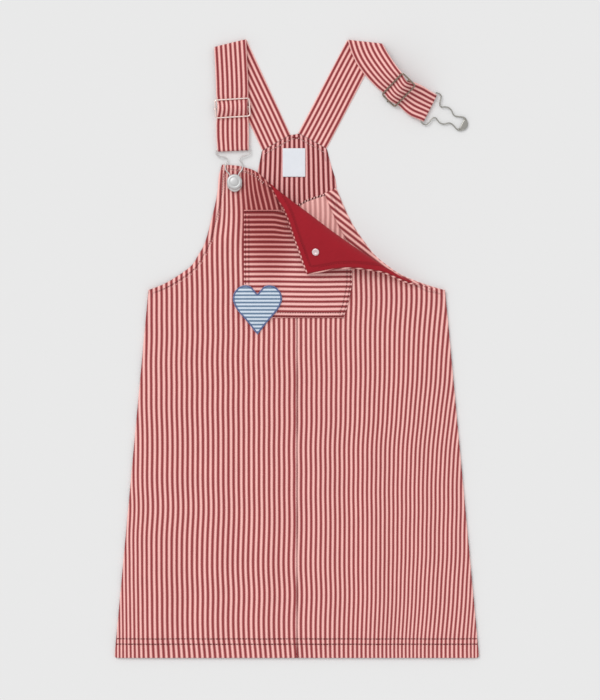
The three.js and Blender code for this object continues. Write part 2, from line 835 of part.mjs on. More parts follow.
// The clip lies in its own plane too, from its bar at Y = 0 in the strap's loop
function clipWires() {
  const toBar = barWrap + clothThick / 2;
  const right = clipEdge.map(({ reach, half }) => new THREE.Vector2(half, reach + toBar));
  const left = clipEdge.map(({ reach, half }) => new THREE.Vector2(-half, reach + toBar)).reverse();
  const { from, to, half, thick } = clipPlate;
  const plate = new THREE.Shape();
  plate.moveTo(-half, from + toBar);
  plate.lineTo(half, from + toBar);
  plate.quadraticCurveTo(half * 0.8, to + toBar, 0, to + toBar + 0.2);
  plate.quadraticCurveTo(-half * 0.8, to + toBar, -half, from + toBar);
  const sheet = new THREE.ExtrudeGeometry(plate, { depth: thick, bevelEnabled: false, curveSegments: 5 });
  sheet.translate(0, 0, -thick / 2);
  const wire = bentWire([...right, ...left], clipRadius, true);
  return join(wire, sheet);
}

// The button stands on its shank, with its dome up
function buttonBody() {
  const { radius, shank, under, dome } = button;
  const profile = [
    [0, 0],
    [shank, 0],
    [shank, under - 0.6],
    [radius - 1.2, under],
    [radius, under + 0.5],
    [radius - 0.15, under + 1.1],
    [radius * 0.75, under + dome * 0.78],
    [radius * 0.4, under + dome * 0.95],
    [0, under + dome],
  ];
  return lathe(profile, 20);
}

function tackBody() {
  const { radius, thick } = tack;
  return lathe([[0, 0], [radius, 0], [radius, thick * 0.5], [radius * 0.8, thick], [0, thick]], 14);
}

function lathe(profile, sides) {
  const points = profile.map(([radius, height]) => new THREE.Vector2(radius, height));
  const geometry = new THREE.LatheGeometry(points, sides);
  geometry.rotateX(PI / 2);
  return geometry;
}

// The dress

const dress = new THREE.Group();

function add(name, geometry, { color, roughness, metalness }) {
  const material = new THREE.MeshStandardMaterial({ color, roughness, metalness });
  const mesh = new THREE.Mesh(geometry, material);
  mesh.name = name;
  dress.add(mesh);
  return mesh;
}

// Stands a piece on the front's cloth, over its right side or its wrong side
function standOnFront(mesh, [x, y], up) {
  const small = 0.5;
  const at = new THREE.Vector3(...layFront(x, y, up));
  const acrossWay = new THREE.Vector3(...layFront(x + small, y, up)).sub(at).normalize();
  const upWay = new THREE.Vector3(...layFront(x, y + small, up)).sub(at);
  const out = new THREE.Vector3().crossVectors(acrossWay, upWay).normalize();
  if (up < 0) out.negate();
  const second = new THREE.Vector3().crossVectors(out, acrossWay);
  mesh.quaternion.setFromRotationMatrix(new THREE.Matrix4().makeBasis(acrossWay, second, out));
  mesh.position.copy(at);
}

// Puts a piece in the plane of a strap's hardware, its Y along the strap
function putOnStrap(mesh, laid, aside, along, turn, tilt) {
  const at = new THREE.Vector3(...laid.turned(aside, along, 0));
  const right = new THREE.Vector3(...laid.turned(aside + 1, along, 0)).sub(at);
  const { way } = laid.run(along);
  const ahead = new THREE.Vector3(...way, 0);
  const out = new THREE.Vector3().crossVectors(right, ahead).normalize();
  const sideways = new THREE.Vector3().crossVectors(ahead, out);
  mesh.quaternion.setFromRotationMatrix(new THREE.Matrix4().makeBasis(sideways, ahead, out));
  mesh.rotateZ(radians(turn));
  mesh.rotateX(radians(tilt));
  mesh.position.copy(at);
}

add('back_skirt', backSkirt(), stripedTwill);
add('back_yoke', backYoke(), stripedTwill);
add('armhole_facing', armholeFacing(), stripedTwill);
add('neck_label', neckLabel(), whiteTape);
add('front_left', frontPanel(-1), stripedTwill);
add('front_right', frontPanel(1), stripedTwill);
add('bib_facing', bibFacing(), redTwill);
add('pocket', foldedCloth(pocketOutline(), clothThick, pocketMiddle), stripedTwill);
add('heart_patch', heartPatch(), blueStripe);

for (const strap of straps) {
  const laid = layStrap(strap);
  add(`strap_${strap.side}`, strapCloth(strap, laid), stripedTwill);
  const slider = add(`slider_${strap.side}`, sliderWires(), steel);
  putOnStrap(slider, laid, strap.sliderAside, strap.slider, strap.sliderTurn, 0);
  const hook = add(`clip_${strap.side}`, clipWires(), steel);
  putOnStrap(hook, laid, 0, strap.bar, 0, strap.clipTilt);
}

const buttonRise = clothThick / 2 + 1.5 * gap;
const leftSpot = [button.x, button.y];
const rightSpot = unfold(rightTack);
standOnFront(add('button_left', buttonBody(), steel), leftSpot, buttonRise);
standOnFront(add('button_right', buttonBody(), steel), rightSpot, buttonRise);
const tackLeft = add('tack_left', tackBody(), steel);
tackLeft.position.set(leftSpot[0], leftSpot[1], 0);
standOnFront(add('tack_right', tackBody(), steel), rightSpot, -facingFace - gap);

export default dress;
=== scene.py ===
import math
import bpy
import numpy as np
from mathutils import Matrix, Vector
from mathutils.geometry import delaunay_2d_cdt


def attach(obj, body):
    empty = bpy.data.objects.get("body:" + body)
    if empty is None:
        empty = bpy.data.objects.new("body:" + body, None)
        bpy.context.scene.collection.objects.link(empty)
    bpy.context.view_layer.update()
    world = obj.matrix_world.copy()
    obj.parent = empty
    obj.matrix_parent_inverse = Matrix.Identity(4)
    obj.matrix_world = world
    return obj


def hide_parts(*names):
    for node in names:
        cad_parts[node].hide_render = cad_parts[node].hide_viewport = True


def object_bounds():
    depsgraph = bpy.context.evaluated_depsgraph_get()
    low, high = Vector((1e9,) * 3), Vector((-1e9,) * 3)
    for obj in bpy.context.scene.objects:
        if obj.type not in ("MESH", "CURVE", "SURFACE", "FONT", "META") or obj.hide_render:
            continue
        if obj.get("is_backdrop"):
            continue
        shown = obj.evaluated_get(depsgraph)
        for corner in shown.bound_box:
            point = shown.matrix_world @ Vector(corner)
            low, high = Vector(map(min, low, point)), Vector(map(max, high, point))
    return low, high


# A child's striped pinafore dress lying flat with its front up. The tables are in millimetres and the
# scene in metres. Cloth is cut flat from its outline, then laid: a flat place (x, y) is where a point
# would lie unfolded, and its rise is the height over the middle of the front's cloth.

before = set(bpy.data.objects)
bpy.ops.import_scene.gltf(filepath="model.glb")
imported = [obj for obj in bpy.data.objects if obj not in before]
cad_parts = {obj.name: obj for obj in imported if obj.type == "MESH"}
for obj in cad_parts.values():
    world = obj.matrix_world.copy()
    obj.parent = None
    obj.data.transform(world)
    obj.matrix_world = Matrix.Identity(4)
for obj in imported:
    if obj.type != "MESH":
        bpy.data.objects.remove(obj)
cadLow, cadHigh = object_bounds()
print("frame loaded")

millimetre = 0.001


def table(columns, *rows):
    return dict(zip(columns.split(), np.array(rows, float).T))


# 0 below low, 1 over high, smooth between
def rise(value, low, high):
    share = np.clip((np.asarray(value, float) - low) / (high - low), 0, 1)
    return share * share * (3 - 2 * share)


# A smooth value between the rows of a table
def between(rows, key, at, column):
    keys, values = rows[key], rows[column]
    last = len(keys) - 1
    index = np.arange(len(keys))
    before, after = np.maximum(index - 1, 0), np.minimum(index + 1, last)
    slopes = (values[after] - values[before]) / (keys[after] - keys[before])
    at = np.clip(np.asarray(at, float), keys[0], keys[-1])
    low = np.clip(np.searchsorted(keys, at, side="right") - 1, 0, last - 1)
    span = keys[low + 1] - keys[low]
    t = (at - keys[low]) / span
    whole = (1 + 2 * t) * (1 - t) ** 2 * values[low] + t * t * (3 - 2 * t) * values[low + 1]
    return whole + t * (1 - t) ** 2 * span * slopes[low] + t * t * (t - 1) * span * slopes[low + 1]


# Places from low to high, about a step from one to the next
def stops(low, high, step):
    return np.linspace(low, high, max(1, round(abs(high - low) / step)) + 1)


# What all the cloth has in common
clothThick, thinCloth, gap = 1.2, 1.0, 0.3

front = {                               # the cut of both fronts, then the heights that they rest at
    "hem": -309.5, "hemHalf": 182.2, "hemCorner": 2.5, "underarm": 58.5, "underarmHalf": 148.4,
    "rest": 3.6, "sideRest": 2.1, "hemRest": 2.6, "sunkRest": 1.6, "sideSlope": 16, "hemSlope": 24,
}
frontArmhole = table(
    "height half",
    (58.5, 148.4), (63.5, 134.8), (73.5, 117.8), (83.5, 104.8), (93.5, 98.6), (103.5, 92.8),
    (123.5, 86.8), (153.5, 79.8), (173.5, 77.8), (183.9, 74.7),
)
neckEdge = table(
    "x y",
    (-74.7, 183.9), (-61.2, 183.1), (-52, 181.2), (-42.8, 178.2), (-36.5, 173.8), (-30.5, 168.2),
)
backArmhole = table(
    "height half",
    (58.5, 147.8), (63.5, 131), (73.5, 105.2), (83.5, 90.2), (93.5, 78.3), (103.5, 70.2),
    (123.5, 56.5), (143.5, 46.8), (160.8, 39.8), (200, 30),
)
# The turned-down corner: its fold runs from start at angle, and past it the cloth drops as it reaches
turnDown = {
    "start": (-27.85, 166.3), "angle": -35.43, "drop": 12.2, "reach": 40, "dropCurve": 1.5,
    "fullRadius": 6, "lift": 1.4, "liftWide": 34, "liftEnd": 215,
    "neckEnd": 1, "tip": 84.6, "armholeEnd": 175,
}
foldRows = table(
    "along edge radius",
    (-40, -14, 2.6), (-14, -8, 2), (0, -0.6, 1.4), (6.4, 0.6, 1.9), (20, 1.6, 3.4), (45, 2.4, 6),
    (85, 3.6, 8), (120, 3, 7), (150, 1.4, 4.6), (168, -0.4, 3.2), (178, -4, 2.8), (191, -12.5, 2.6),
    (206, -22, 2.6), (260, -60, 2.6),
)
# Its free edge as it lies, from its neck end to its tip, and from there on to the armhole
flapNeck = table(
    "along across",
    (1, 1.2), (4.2, 3.4), (10.7, 6.8), (19.3, 10.9), (27, 14), (35, 18.6), (43.5, 24.8), (53, 31.7),
    (66, 40.6), (76, 47.8), (84.6, 53.3),
)
flapArmhole = table(
    "along across",
    (84.6, 53.3), (94.7, 43.6), (106.9, 31.2), (119.6, 21.6), (130, 15.8), (146.5, 7.9),
    (161.9, 3.8), (175, 0),
)
bibFacing = {"gap": 0.45, "inset": 0.9, "underFold": 2.5, "grain": (0.94, 0.34)}
facingMiddle = -(clothThick / 2 + bibFacing["gap"] + thinCloth / 2)
facingFace = clothThick / 2 + bibFacing["gap"] + thinCloth

# Soft ripples of the front, from the hem to the chest
ripples = table(
    "hem chest height half",
    (-142, -112, 1.7, 20), (-88, -70, 1.3, 22), (-34, -30, 1.9, 17),
    (26, 22, 1.2, 20), (80, 66, 1.8, 21), (138, 108, 1.4, 18),
)
# Smaller troughs and ridges, each from one end to the other with a bend between
creases = table(
    "x y endX endY bend height half",
    (-128, -40, -138, -200, 5, -0.55, 8), (-104, 20, -112, -120, -4, 0.5, 9),
    (-60, -60, -70, -230, 6, -0.6, 10), (-14, -90, -22, -250, -4, 0.45, 8),
    (46, -30, 58, -190, -6, -0.6, 9), (98, 10, 118, -150, 6, 0.6, 10),
    (128, -60, 150, -230, -5, -0.5, 9), (70, -150, 84, -290, 4, 0.5, 8),
    (-100, -190, -108, -300, -3, -0.45, 7), (20, -200, 22, -300, 3, -0.45, 7),
    (150, -120, 160, -210, 3, 0.5, 7), (-150, -200, -156, -280, -3, 0.4, 7),
    (-86, 130, -92, 60, -3, -0.5, 7), (-68, 150, -72, 90, 3, 0.45, 7),
    (66, 26, 104, 36, -3, 0.5, 9), (118, 44, 140, 30, 2, -0.5, 8),
    (70, 60, 92, 12, 4, -0.55, 8),
)
creaseEnds = 0.35                       # share of a crease's length in which it comes up from flat

foldStart = np.array(turnDown["start"])
foldAngle = math.radians(turnDown["angle"])
foldWay = np.array([math.cos(foldAngle), math.sin(foldAngle)])
foldOut = np.array([-foldWay[1], foldWay[0]])


# A flat place as its distance along the fold and beyond it
def toFold(x, y):
    x, y = np.asarray(x) - foldStart[0], np.asarray(y) - foldStart[1]
    return x * foldWay[0] + y * foldWay[1], x * foldOut[0] + y * foldOut[1]


def fromFold(along, beyond):
    x = foldStart[0] + along * foldWay[0] + beyond * foldOut[0]
    return x, foldStart[1] + along * foldWay[1] + beyond * foldOut[1]


# The roll's radius, the place of its outer edge, and where the cloth begins to turn
def rollAt(along):
    radius = between(foldRows, "along", along, "radius")
    edge = between(foldRows, "along", along, "edge")
    return radius, edge, -edge - radius - facingFace


# The flat place of a point of the turned-down corner, from where it lies
def unfold(along, across):
    radius, edge, begin = rollAt(along)
    outer = radius + facingFace
    width = across - edge
    bent = radius * (np.pi - np.arcsin(np.clip(1 - width / outer, -1, 1)))
    length = np.where(width < outer, bent, np.pi * radius + width - outer)
    return fromFold(along, begin + length)


# Share of the way up from the hem to the underarm
def skirtShare(y):
    return (y - front["hem"]) / (front["underarm"] - front["hem"])


def sideHalfAt(y):
    hem, underarm = front["hem"], front["underarm"]
    return front["hemHalf"] + (front["underarmHalf"] - front["hemHalf"]) * (y - hem) / (underarm - hem)


# Troughs and ridges at a flat place
def creased(rows, x, y):
    total = np.zeros(np.broadcast(x, y).shape)
    for x0, y0, x1, y1, bend, height, half in zip(*rows.values()):
        way = np.array([x1 - x0, y1 - y0])
        length = math.hypot(*way)
        way = way / length
        along = (x - x0) * way[0] + (y - y0) * way[1]
        share = np.clip(along / length, 0, 1)
        aside = (x - x0) * -way[1] + (y - y0) * way[0] - 4 * bend * share * (1 - share)
        ends = rise(along, -half, length * creaseEnds) * rise(length - along, -half, length * creaseEnds)
        total += height * ends * np.exp(-((aside / half) ** 2))
    return total


# The height of the middle of the front's cloth where it isn't folded
def frontHeight(x, y):
    hem, underarm = front["hem"], front["underarm"]
    fromSide = np.where(y < underarm, rise(sideHalfAt(y) - np.abs(x), 0, front["sideSlope"]), 1)
    fromHem = rise(y, hem, hem + front["hemSlope"])
    rest = front["sideRest"] + (front["hemRest"] - front["sideRest"]) * fromSide
    rest = rest + (front["rest"] - front["hemRest"]) * fromSide * fromHem
    # the left armhole's edge lies past the back's, and sinks towards the floor
    backHalf = between(backArmhole, "height", y, "half")
    sunk = np.where((x < 0) & (y > underarm), rise(-x - backHalf, 2, 18), 0)
    # the ripples die out over the chest, and the creases at the edges
    down = rise(hem + underarm - y, hem - 40, 40)
    waves = 0
    for hemPlace, chest, height, half in zip(*ripples.values()):
        middle = hemPlace + (chest - hemPlace) * skirtShare(y)
        near = np.maximum(0, 1 - ((x - middle) / half) ** 2)
        waves = waves + height * near * near
    small = creased(creases, x, y) * fromSide * rise(y, hem, hem + front["hemSlope"] / 2) * (1 - sunk)
    # the cloth is lifted where it rolls over
    along, beyond = toFold(x, y)
    begin = rollAt(along)[2]
    byFold = rise(beyond, begin - turnDown["liftWide"], begin)
    byFold = byFold * rise(along, 0, 24) * rise(turnDown["liftEnd"] - along, 0, 30)
    body = rest + (front["sunkRest"] - rest) * sunk + waves * down * fromSide * fromHem
    return body + turnDown["lift"] * byFold + small


# Points of the front, or of what is sewn on it, laid and folded
def layFront(x, y, up):
    along, beyond = toFold(x, y)
    radius, _, begin = rollAt(along)
    length = beyond - begin
    folded = length > 0
    footX, footY = fromFold(along, begin)
    base = frontHeight(np.where(folded, footX, x), np.where(folded, footY, y))
    turn = np.clip(length / radius, 0, np.pi)
    over = np.maximum(0, length - np.pi * radius)
    share = (over / turnDown["reach"]) ** turnDown["dropCurve"]
    fall = turnDown["drop"] * share * np.minimum(1, radius / turnDown["fullRadius"])
    out = (radius - up) * np.sin(turn) - over
    height = base + radius - (radius - up) * np.cos(turn) - fall
    laidX = np.where(folded, footX + out * foldOut[0], x)
    laidY = np.where(folded, footY + out * foldOut[1], y)
    return np.stack([laidX, laidY, np.where(folded, height, base + up)], axis=-1)


# Points along a line or an outline, about a step apart, with its corners kept
def spaced(points, step, closed=True):
    points = np.array(points, float)
    ends = np.roll(points, -1, axis=0) if closed else points[1:]
    parts = []
    for start, end in zip(points, ends):
        count = max(1, round(math.hypot(*(end - start)) / step))
        parts.append(start + (end - start) * np.arange(count)[:, None] / count)
    if not closed:
        parts.append(points[-1:])
    return np.concatenate(parts)


def edgeDistance(points, outline):
    best = np.full(len(points), np.inf)
    for start, end in zip(outline, np.roll(outline, -1, axis=0)):
        way = end - start
        if not way.any():
            continue
        share = np.clip((points - start) @ way / (way @ way), 0, 1)
        off = points - start - share[:, None] * way
        best = np.minimum(best, np.hypot(off[:, 0], off[:, 1]))
    return best


def within(points, outline):
    x, y = points.T
    found = np.zeros(len(points), bool)
    for (ax, ay), (bx, by) in zip(outline, np.roll(outline, -1, axis=0)):
        if ay != by:
            found ^= ((ay > y) != (by > y)) & (x < ax + (y - ay) * (bx - ax) / (by - ay))
    return found


# Rings of points inside an outline, each at its distance from the edge
def innerRings(outline, distances):
    ways = np.roll(outline, -1, axis=0) - np.roll(outline, 1, axis=0)
    ways /= np.maximum(np.hypot(*ways.T), 1e-9)[:, None]
    inward = np.stack([-ways[:, 1], ways[:, 0]], axis=1)
    kept = []
    for distance in distances:
        ring = outline + inward * distance
        ring = ring[within(ring, outline)]
        kept.append(ring[edgeDistance(ring, outline) > distance * 0.9])
    return np.concatenate(kept)


def gridOf(xs, ys):
    return np.stack(np.meshgrid(xs, ys), axis=-1).reshape(-1, 2)


def makeMesh(name, positions, faces, finishes, uv=None, finishAt=None):
    mesh = bpy.data.meshes.new(name)
    mesh.from_pydata((np.asarray(positions) * millimetre).tolist(), [], faces)
    for finish in finishes:
        mesh.materials.append(finish)
    mesh.polygons.foreach_set("use_smooth", [True] * len(mesh.polygons))
    if finishAt is not None:
        mesh.polygons.foreach_set("material_index", finishAt)
    if uv is not None:
        layer = mesh.uv_layers.new(name="cut")
        corners = np.empty(len(mesh.loops), int)
        mesh.loops.foreach_get("vertex_index", corners)
        layer.data.foreach_set("uv", (np.asarray(uv)[corners] * millimetre).ravel())
    mesh.update()
    piece = bpy.data.objects.new(name, mesh)
    bpy.context.scene.collection.objects.link(piece)
    return piece


shell = {                               # millimetres from the cut edge, and its share of the thickness
    "rings": (0.35, 1.1, 2.6), "gridFrom": 3.6, "round": 1.1, "edgeShare": 0.25,
}


# A thin shell of cloth: both faces over the flat cut, meeting in a rounded edge. threads gives each
# flat place its distance across the stripes and along them.
def layCloth(name, outline, grid, place, finishes, thick, middle, threads):
    outline = np.asarray(outline, float)
    turned = np.roll(outline, -1, axis=0)
    if np.sum(outline[:, 0] * turned[:, 1] - turned[:, 0] * outline[:, 1]) < 0:
        outline = outline[::-1]
    rings = innerRings(outline, shell["rings"])
    grid = grid[within(grid, outline)]
    grid = grid[edgeDistance(grid, outline) > shell["gridFrom"]]
    points = np.concatenate([outline, rings, grid])
    found = delaunay_2d_cdt([Vector(p) for p in points], [], [list(range(len(outline)))], 1, 1e-5, False)
    flat = np.array([tuple(v) for v in found[0]])
    faces = np.array(found[2])
    faces = faces[within(flat[faces].mean(axis=1), outline)]
    distance = edgeDistance(flat, outline)
    x, y = flat.T
    full = np.sqrt(1 - (1 - np.clip(distance / shell["round"], 0, 1)) ** 2)
    half = thick / 2 * (shell["edgeShare"] + (1 - shell["edgeShare"]) * full)
    positions = np.concatenate([place(x, y, middle + half), place(x, y, middle - half)])
    count = len(flat)
    edges = np.concatenate([faces[:, [0, 1]], faces[:, [1, 2]], faces[:, [2, 0]]])
    used = set(map(tuple, edges.tolist()))
    rim = [(b, a, a + count, b + count) for a, b in edges.tolist() if (b, a) not in used]
    allFaces = faces.tolist() + (faces[:, ::-1] + count).tolist() + rim
    finishAt = [0] * len(faces) + [len(finishes) - 1] * len(faces) + [0] * len(rim)
    across, along = threads(x, y)
    uv = np.tile(np.stack([across, along], axis=1), (2, 1))
    piece = makeMesh(name, positions, allFaces, finishes, uv, finishAt)
    edge = piece.data.attributes.new("edge", "FLOAT", "POINT")
    edge.data.foreach_set("value", np.tile(distance * millimetre, 2))
    return piece


# Shader maths written as sums: a Term is one socket of a Finish
class Term:
    def __init__(self, finish, socket):
        self.finish, self.socket = finish, socket

    def maths(self, operation, *values):
        return self.finish.node("ShaderNodeMath", {"operation": operation}, dict(enumerate(values)))

    def __add__(self, other):
        return self.maths("ADD", self, other)

    def __radd__(self, other):
        return self.maths("ADD", other, self)

    def __sub__(self, other):
        return self.maths("SUBTRACT", self, other)

    def __rsub__(self, other):
        return self.maths("SUBTRACT", other, self)

    def __mul__(self, other):
        return self.maths("MULTIPLY", self, other)

    def __rmul__(self, other):
        return self.maths("MULTIPLY", other, self)

    def __truediv__(self, other):
        return self.maths("DIVIDE", self, other)

    def part(self):
        return self.maths("FRACT", self)

    def size(self):
        return self.maths("ABSOLUTE", self)

    def wave(self):
        return self.maths("SINE", self)

    # 0 below low, 1 over high, smooth between
    def rise(self, low, high):
        settings = {"interpolation_type": "SMOOTHSTEP"}
        return self.finish.node("ShaderNodeMapRange", settings, {0: self, 1: low, 2: high})


# A material with its one shader, and short ways to the nodes that feed it
class Finish:
    def __init__(self, name, **values):
        self.material = bpy.data.materials.new(name)
        self.material.use_nodes = True
        self.tree = self.material.node_tree
        self.shader = self.tree.nodes["Principled BSDF"]
        for socket, value in values.items():
            self.shader.inputs[socket.replace("_", " ")].default_value = value

    def node(self, kind, settings, values, output=0):
        node = self.tree.nodes.new(kind)
        for key, value in settings.items():
            setattr(node, key, value)
        for key, value in values.items():
            if isinstance(value, Term):
                self.tree.links.new(value.socket, node.inputs[key])
            elif node.inputs[key].type == "VECTOR":
                node.inputs[key].default_value = value[:3]
            else:
                node.inputs[key].default_value = value
        return Term(self, node.outputs[output])

    def set(self, socket, term):
        self.tree.links.new(term.socket, self.shader.inputs[socket])

    def cut(self):
        place = self.node("ShaderNodeUVMap", {"uv_map": "cut"}, {})
        return place, self.axis(place, 0), self.axis(place, 1)

    def objectPlace(self):
        return self.node("ShaderNodeTexCoord", {}, {}, "Object")

    def axis(self, vector, index):
        return self.node("ShaderNodeSeparateXYZ", {}, {0: vector}, index)

    def vector(self, x, y, z=0.0):
        return self.node("ShaderNodeCombineXYZ", {}, {0: x, 1: y, 2: z})

    def noise(self, vector, scale, detail):
        values = {"Vector": vector, "Scale": scale, "Detail": detail, "Roughness": 0.5}
        return self.node("ShaderNodeTexNoise", {}, values)

    def mix(self, share, low, high):
        return self.node("ShaderNodeMix", {"data_type": "RGBA"}, {0: share, 6: low, 7: high}, 2)

    def shade(self, colour, amount):
        return self.node("ShaderNodeVectorMath", {"operation": "SCALE"}, {0: colour, "Scale": amount})

    def attribute(self, name):
        return self.node("ShaderNodeAttribute", {"attribute_name": name}, {}, "Fac")

    def bump(self, height, distance):
        values = {"Height": height, "Distance": distance, "Strength": 0.7}
        self.set("Normal", self.node("ShaderNodeBump", {}, values))


def srgb(red, green, blue):
    values = np.array([red, green, blue]) / 255
    values = np.where(values <= 0.04045, values / 12.92, ((values + 0.055) / 1.055) ** 2.4)
    return (*values.tolist(), 1.0)


twill = {                               # sizes in metres, and noise scales in marks to a metre
    "rib": 0.00105, "yarns": 1900.0, "yarnStretch": 0.06, "clouds": 55.0, "fray": 1400.0,
    "frayDepth": 0.16, "redTone": (0.82, 0.32, 0.08), "paleTone": (0.92, 0.12, 0.04),
    "ribHeight": 0.2, "yarnHeight": 0.1, "lineFrom": 0.0002, "lineTo": 0.0011, "lineStart": 0.002,
}
stripeLook = {
    "pitch": 0.005,                     # metres from one red stripe to the next
    "red": srgb(144, 54, 58),
    "pale": srgb(255, 197, 190),
    "darkShare": 0.56,
    "softness": 0.34,
    "depth": 0.00055,                   # of the weave's bump
}


# The fine diagonal ribs of the weave, and its yarns, which differ a little along their length
def weave(finish, across, along):
    yarn = finish.noise(finish.vector(across, along * twill["yarnStretch"]), twill["yarns"], 1.0)
    rib = ((across + along) * (2 * math.pi / twill["rib"])).wave() * 0.5 + 0.5
    return yarn, rib, rib * twill["ribHeight"] + yarn * twill["yarnHeight"]


# A yarn's colour, by its own tone and by the rib it lies in
def toned(finish, colour, tone, yarn, rib):
    base, byYarn, byRib = tone
    return finish.shade(colour, base + yarn * byYarn + rib * byRib)


# Yarn-dyed twill with stripes across the cut. Each groove is a sewn line, at a place along or across
# the cloth or at a distance from its edge, sunk in the bump and darkened with painted shade. Where shaded
# is given, painted shade makes the dark stripes wider and deeper and tints the colour deep red.
def stripedTwill(name, look, faded=0.0, shadedGrooves=(), shaded=None):
    finish = Finish(name, Roughness=0.88, Sheen_Weight=0.08, Sheen_Roughness=0.6, Specular_IOR_Level=0.25)
    place, across, along = finish.cut()
    yarn, rib, height = weave(finish, across, along)
    soft = finish.noise(place, twill["clouds"], 2.0)
    frayed = finish.noise(place, twill["fray"], 0.0)
    count = across / look["pitch"] + (frayed - 0.5) * twill["frayDepth"]
    away = ((count.part() - 0.5) * 2.0).size()              # 0 in the middle of a dark stripe
    near = 0.0
    # painted shade: an oval mask round the spot widens and deepens the dark stripes there
    if shaded:
        spot = finish.objectPlace()
        x = (finish.axis(spot, 0) - shaded["x"]) / shaded["wide"]
        y = (finish.axis(spot, 1) - shaded["y"]) / shaded["tall"]
        near = 1.0 - (x * x + y * y).rise(0.04, 1.0)
        away = away - near * shaded["more"]
    pale = away.rise(look["darkShare"] - look["softness"], look["darkShare"] + look["softness"])
    redTone = toned(finish, look["red"], twill["redTone"], yarn, rib)
    paleTone = toned(finish, look["pale"], twill["paleTone"], yarn, rib)
    # more of the pale weft shows through the red warp on the wrong side
    weft = finish.mix(faded, redTone, look["pale"])
    body = finish.mix(pale, weft, paleTone)
    lit = 0.96 + soft * 0.08
    for kind, at, depth, low in shadedGrooves:
        run = {"along": along, "across": across}.get(kind) or finish.attribute("edge")
        line = 1.0 - (run - at).size().rise(twill["lineFrom"], twill["lineTo"])
        if low is not None:
            line = line * along.rise(low, low + twill["lineStart"])
        # painted shade along the sewn line darkens the colour, and the bump sinks there too
        lit = lit - line * depth
        height = height - line * depth * 3.0
    body = finish.shade(body, lit)
    # painted shade: the same mask multiplies the colour by a deep red tint
    if shaded:
        blend = {"data_type": "RGBA", "blend_type": "MULTIPLY"}
        body = finish.node("ShaderNodeMix", blend, {0: near, 6: body, 7: shaded["tint"]}, 2)
    finish.set("Base Color", body)
    finish.bump(height, look["depth"])
    return finish.material


# Twill in one colour. The groove is a sewn line at that distance from the edge, sunk in the bump and
# darkened with painted shade.
def plainTwill(name, colour, variation, depth, groove=None):
    finish = Finish(name, Roughness=0.86, Sheen_Weight=0.03, Sheen_Roughness=0.6, Specular_IOR_Level=0.25)
    place, across, along = finish.cut()
    yarn, rib, height = weave(finish, across, along)
    soft = finish.noise(place, 60.0, 2.0)
    tone = 1.0 - variation / 2 + yarn * variation + (soft - 0.5) * 0.14 + rib * 0.05
    if groove:
        line = 1.0 - (finish.attribute("edge") - groove).size().rise(0.0003, 0.0016)
        # painted shade along the sewn line
        tone = tone - line * 0.2
        height = height - line * 0.8
    finish.set("Base Color", finish.shade(colour, tone))
    finish.bump(height, depth)
    return finish.material


steelLook = {"clouds": 420.0, "spots": 1600.0, "cloudTone": 0.1, "cloudRoughness": 0.12}


# Steel a little clouded, with darker spots where it is tarnished
def metal(name, colour, roughness, tarnish=0.0):
    finish = Finish(name, Metallic=1.0, Roughness=roughness)
    place = finish.objectPlace()
    cloud = finish.noise(place, steelLook["clouds"], 3.0)
    spots = finish.noise(place, steelLook["spots"], 1.0).rise(0.5, 0.75)
    tone = 1.0 - tarnish * spots + (cloud - 0.5) * steelLook["cloudTone"]
    uneven = steelLook["cloudRoughness"]
    finish.set("Base Color", finish.shade(colour, tone))
    finish.set("Roughness", cloud * uneven + (roughness - uneven / 2))
    return finish.material


# Sewn lines in metres: kind, place, depth (of the painted shade that darkens the line, and of its sunk
# bump), and where along the cloth it starts
frontLines = [
    ("along", -0.2903, 0.22, None), ("along", -0.2957, 0.30, None), ("across", 0.0038, 0.34, None),
    ("edge", 0.0046, 0.24, 0.05),
]
pocketLines = [("edge", 0.0016, 0.2, None), ("edge", 0.005, 0.16, None)]
yokeLines = [("edge", 0.004, 0.25, 0.186)]
# Painted shade, tinted deep red: the bib and the pocket get darker where the bib slopes in under its
# turned-down corner
paintedCornerShade = {
    "x": -0.0275, "y": 0.146, "wide": 0.040, "tall": 0.092, "more": 0.12, "tint": (0.72, 0.49, 0.49, 1),
}
strapLook = {**stripeLook, "red": srgb(142, 48, 54), "softness": 0.32}
pocketLook = {**stripeLook, "red": srgb(140, 48, 52), "pale": srgb(253, 196, 190), "darkShare": 0.53}
yokeLook = {**stripeLook, "red": srgb(116, 27, 34), "pale": srgb(247, 182, 178)}
heartLook = {
    **stripeLook, "pitch": 0.00367, "red": srgb(92, 118, 146), "pale": srgb(214, 225, 238),
    "darkShare": 0.5,
}
skirtTwill = stripedTwill("striped twill front", stripeLook, 0.0, frontLines, paintedCornerShade)
wrongTwill = stripedTwill("striped twill wrong side", stripeLook, 0.42)
strapTwill = stripedTwill("striped twill strap", strapLook)
pocketTwill = stripedTwill("striped twill pocket", pocketLook, 0.0, pocketLines, paintedCornerShade)
yokeTwill = stripedTwill("striped twill yoke", yokeLook, 0.0, yokeLines)
redTwill = plainTwill("red twill", srgb(152, 20, 34), 0.16, 0.00045, 0.0055)
heartTwill = stripedTwill("blue stripe", heartLook)
tapeWhite = plainTwill("white tape", srgb(222, 225, 231), 0.05, 0.00015)
brightSteel = metal("bright steel", srgb(209, 207, 206), 0.44)
greySteel = metal("grey steel", srgb(168, 166, 160), 0.34, 0.1)
wornSteel = metal("worn steel", srgb(150, 136, 122), 0.34, 0.35)
tackSteel = metal("tack steel", srgb(228, 208, 210), 0.5)
roseSteel = metal("rose steel", srgb(240, 220, 214), 0.4)
buttonSteel = metal("button steel", srgb(206, 206, 206), 0.56)
print("materials made")


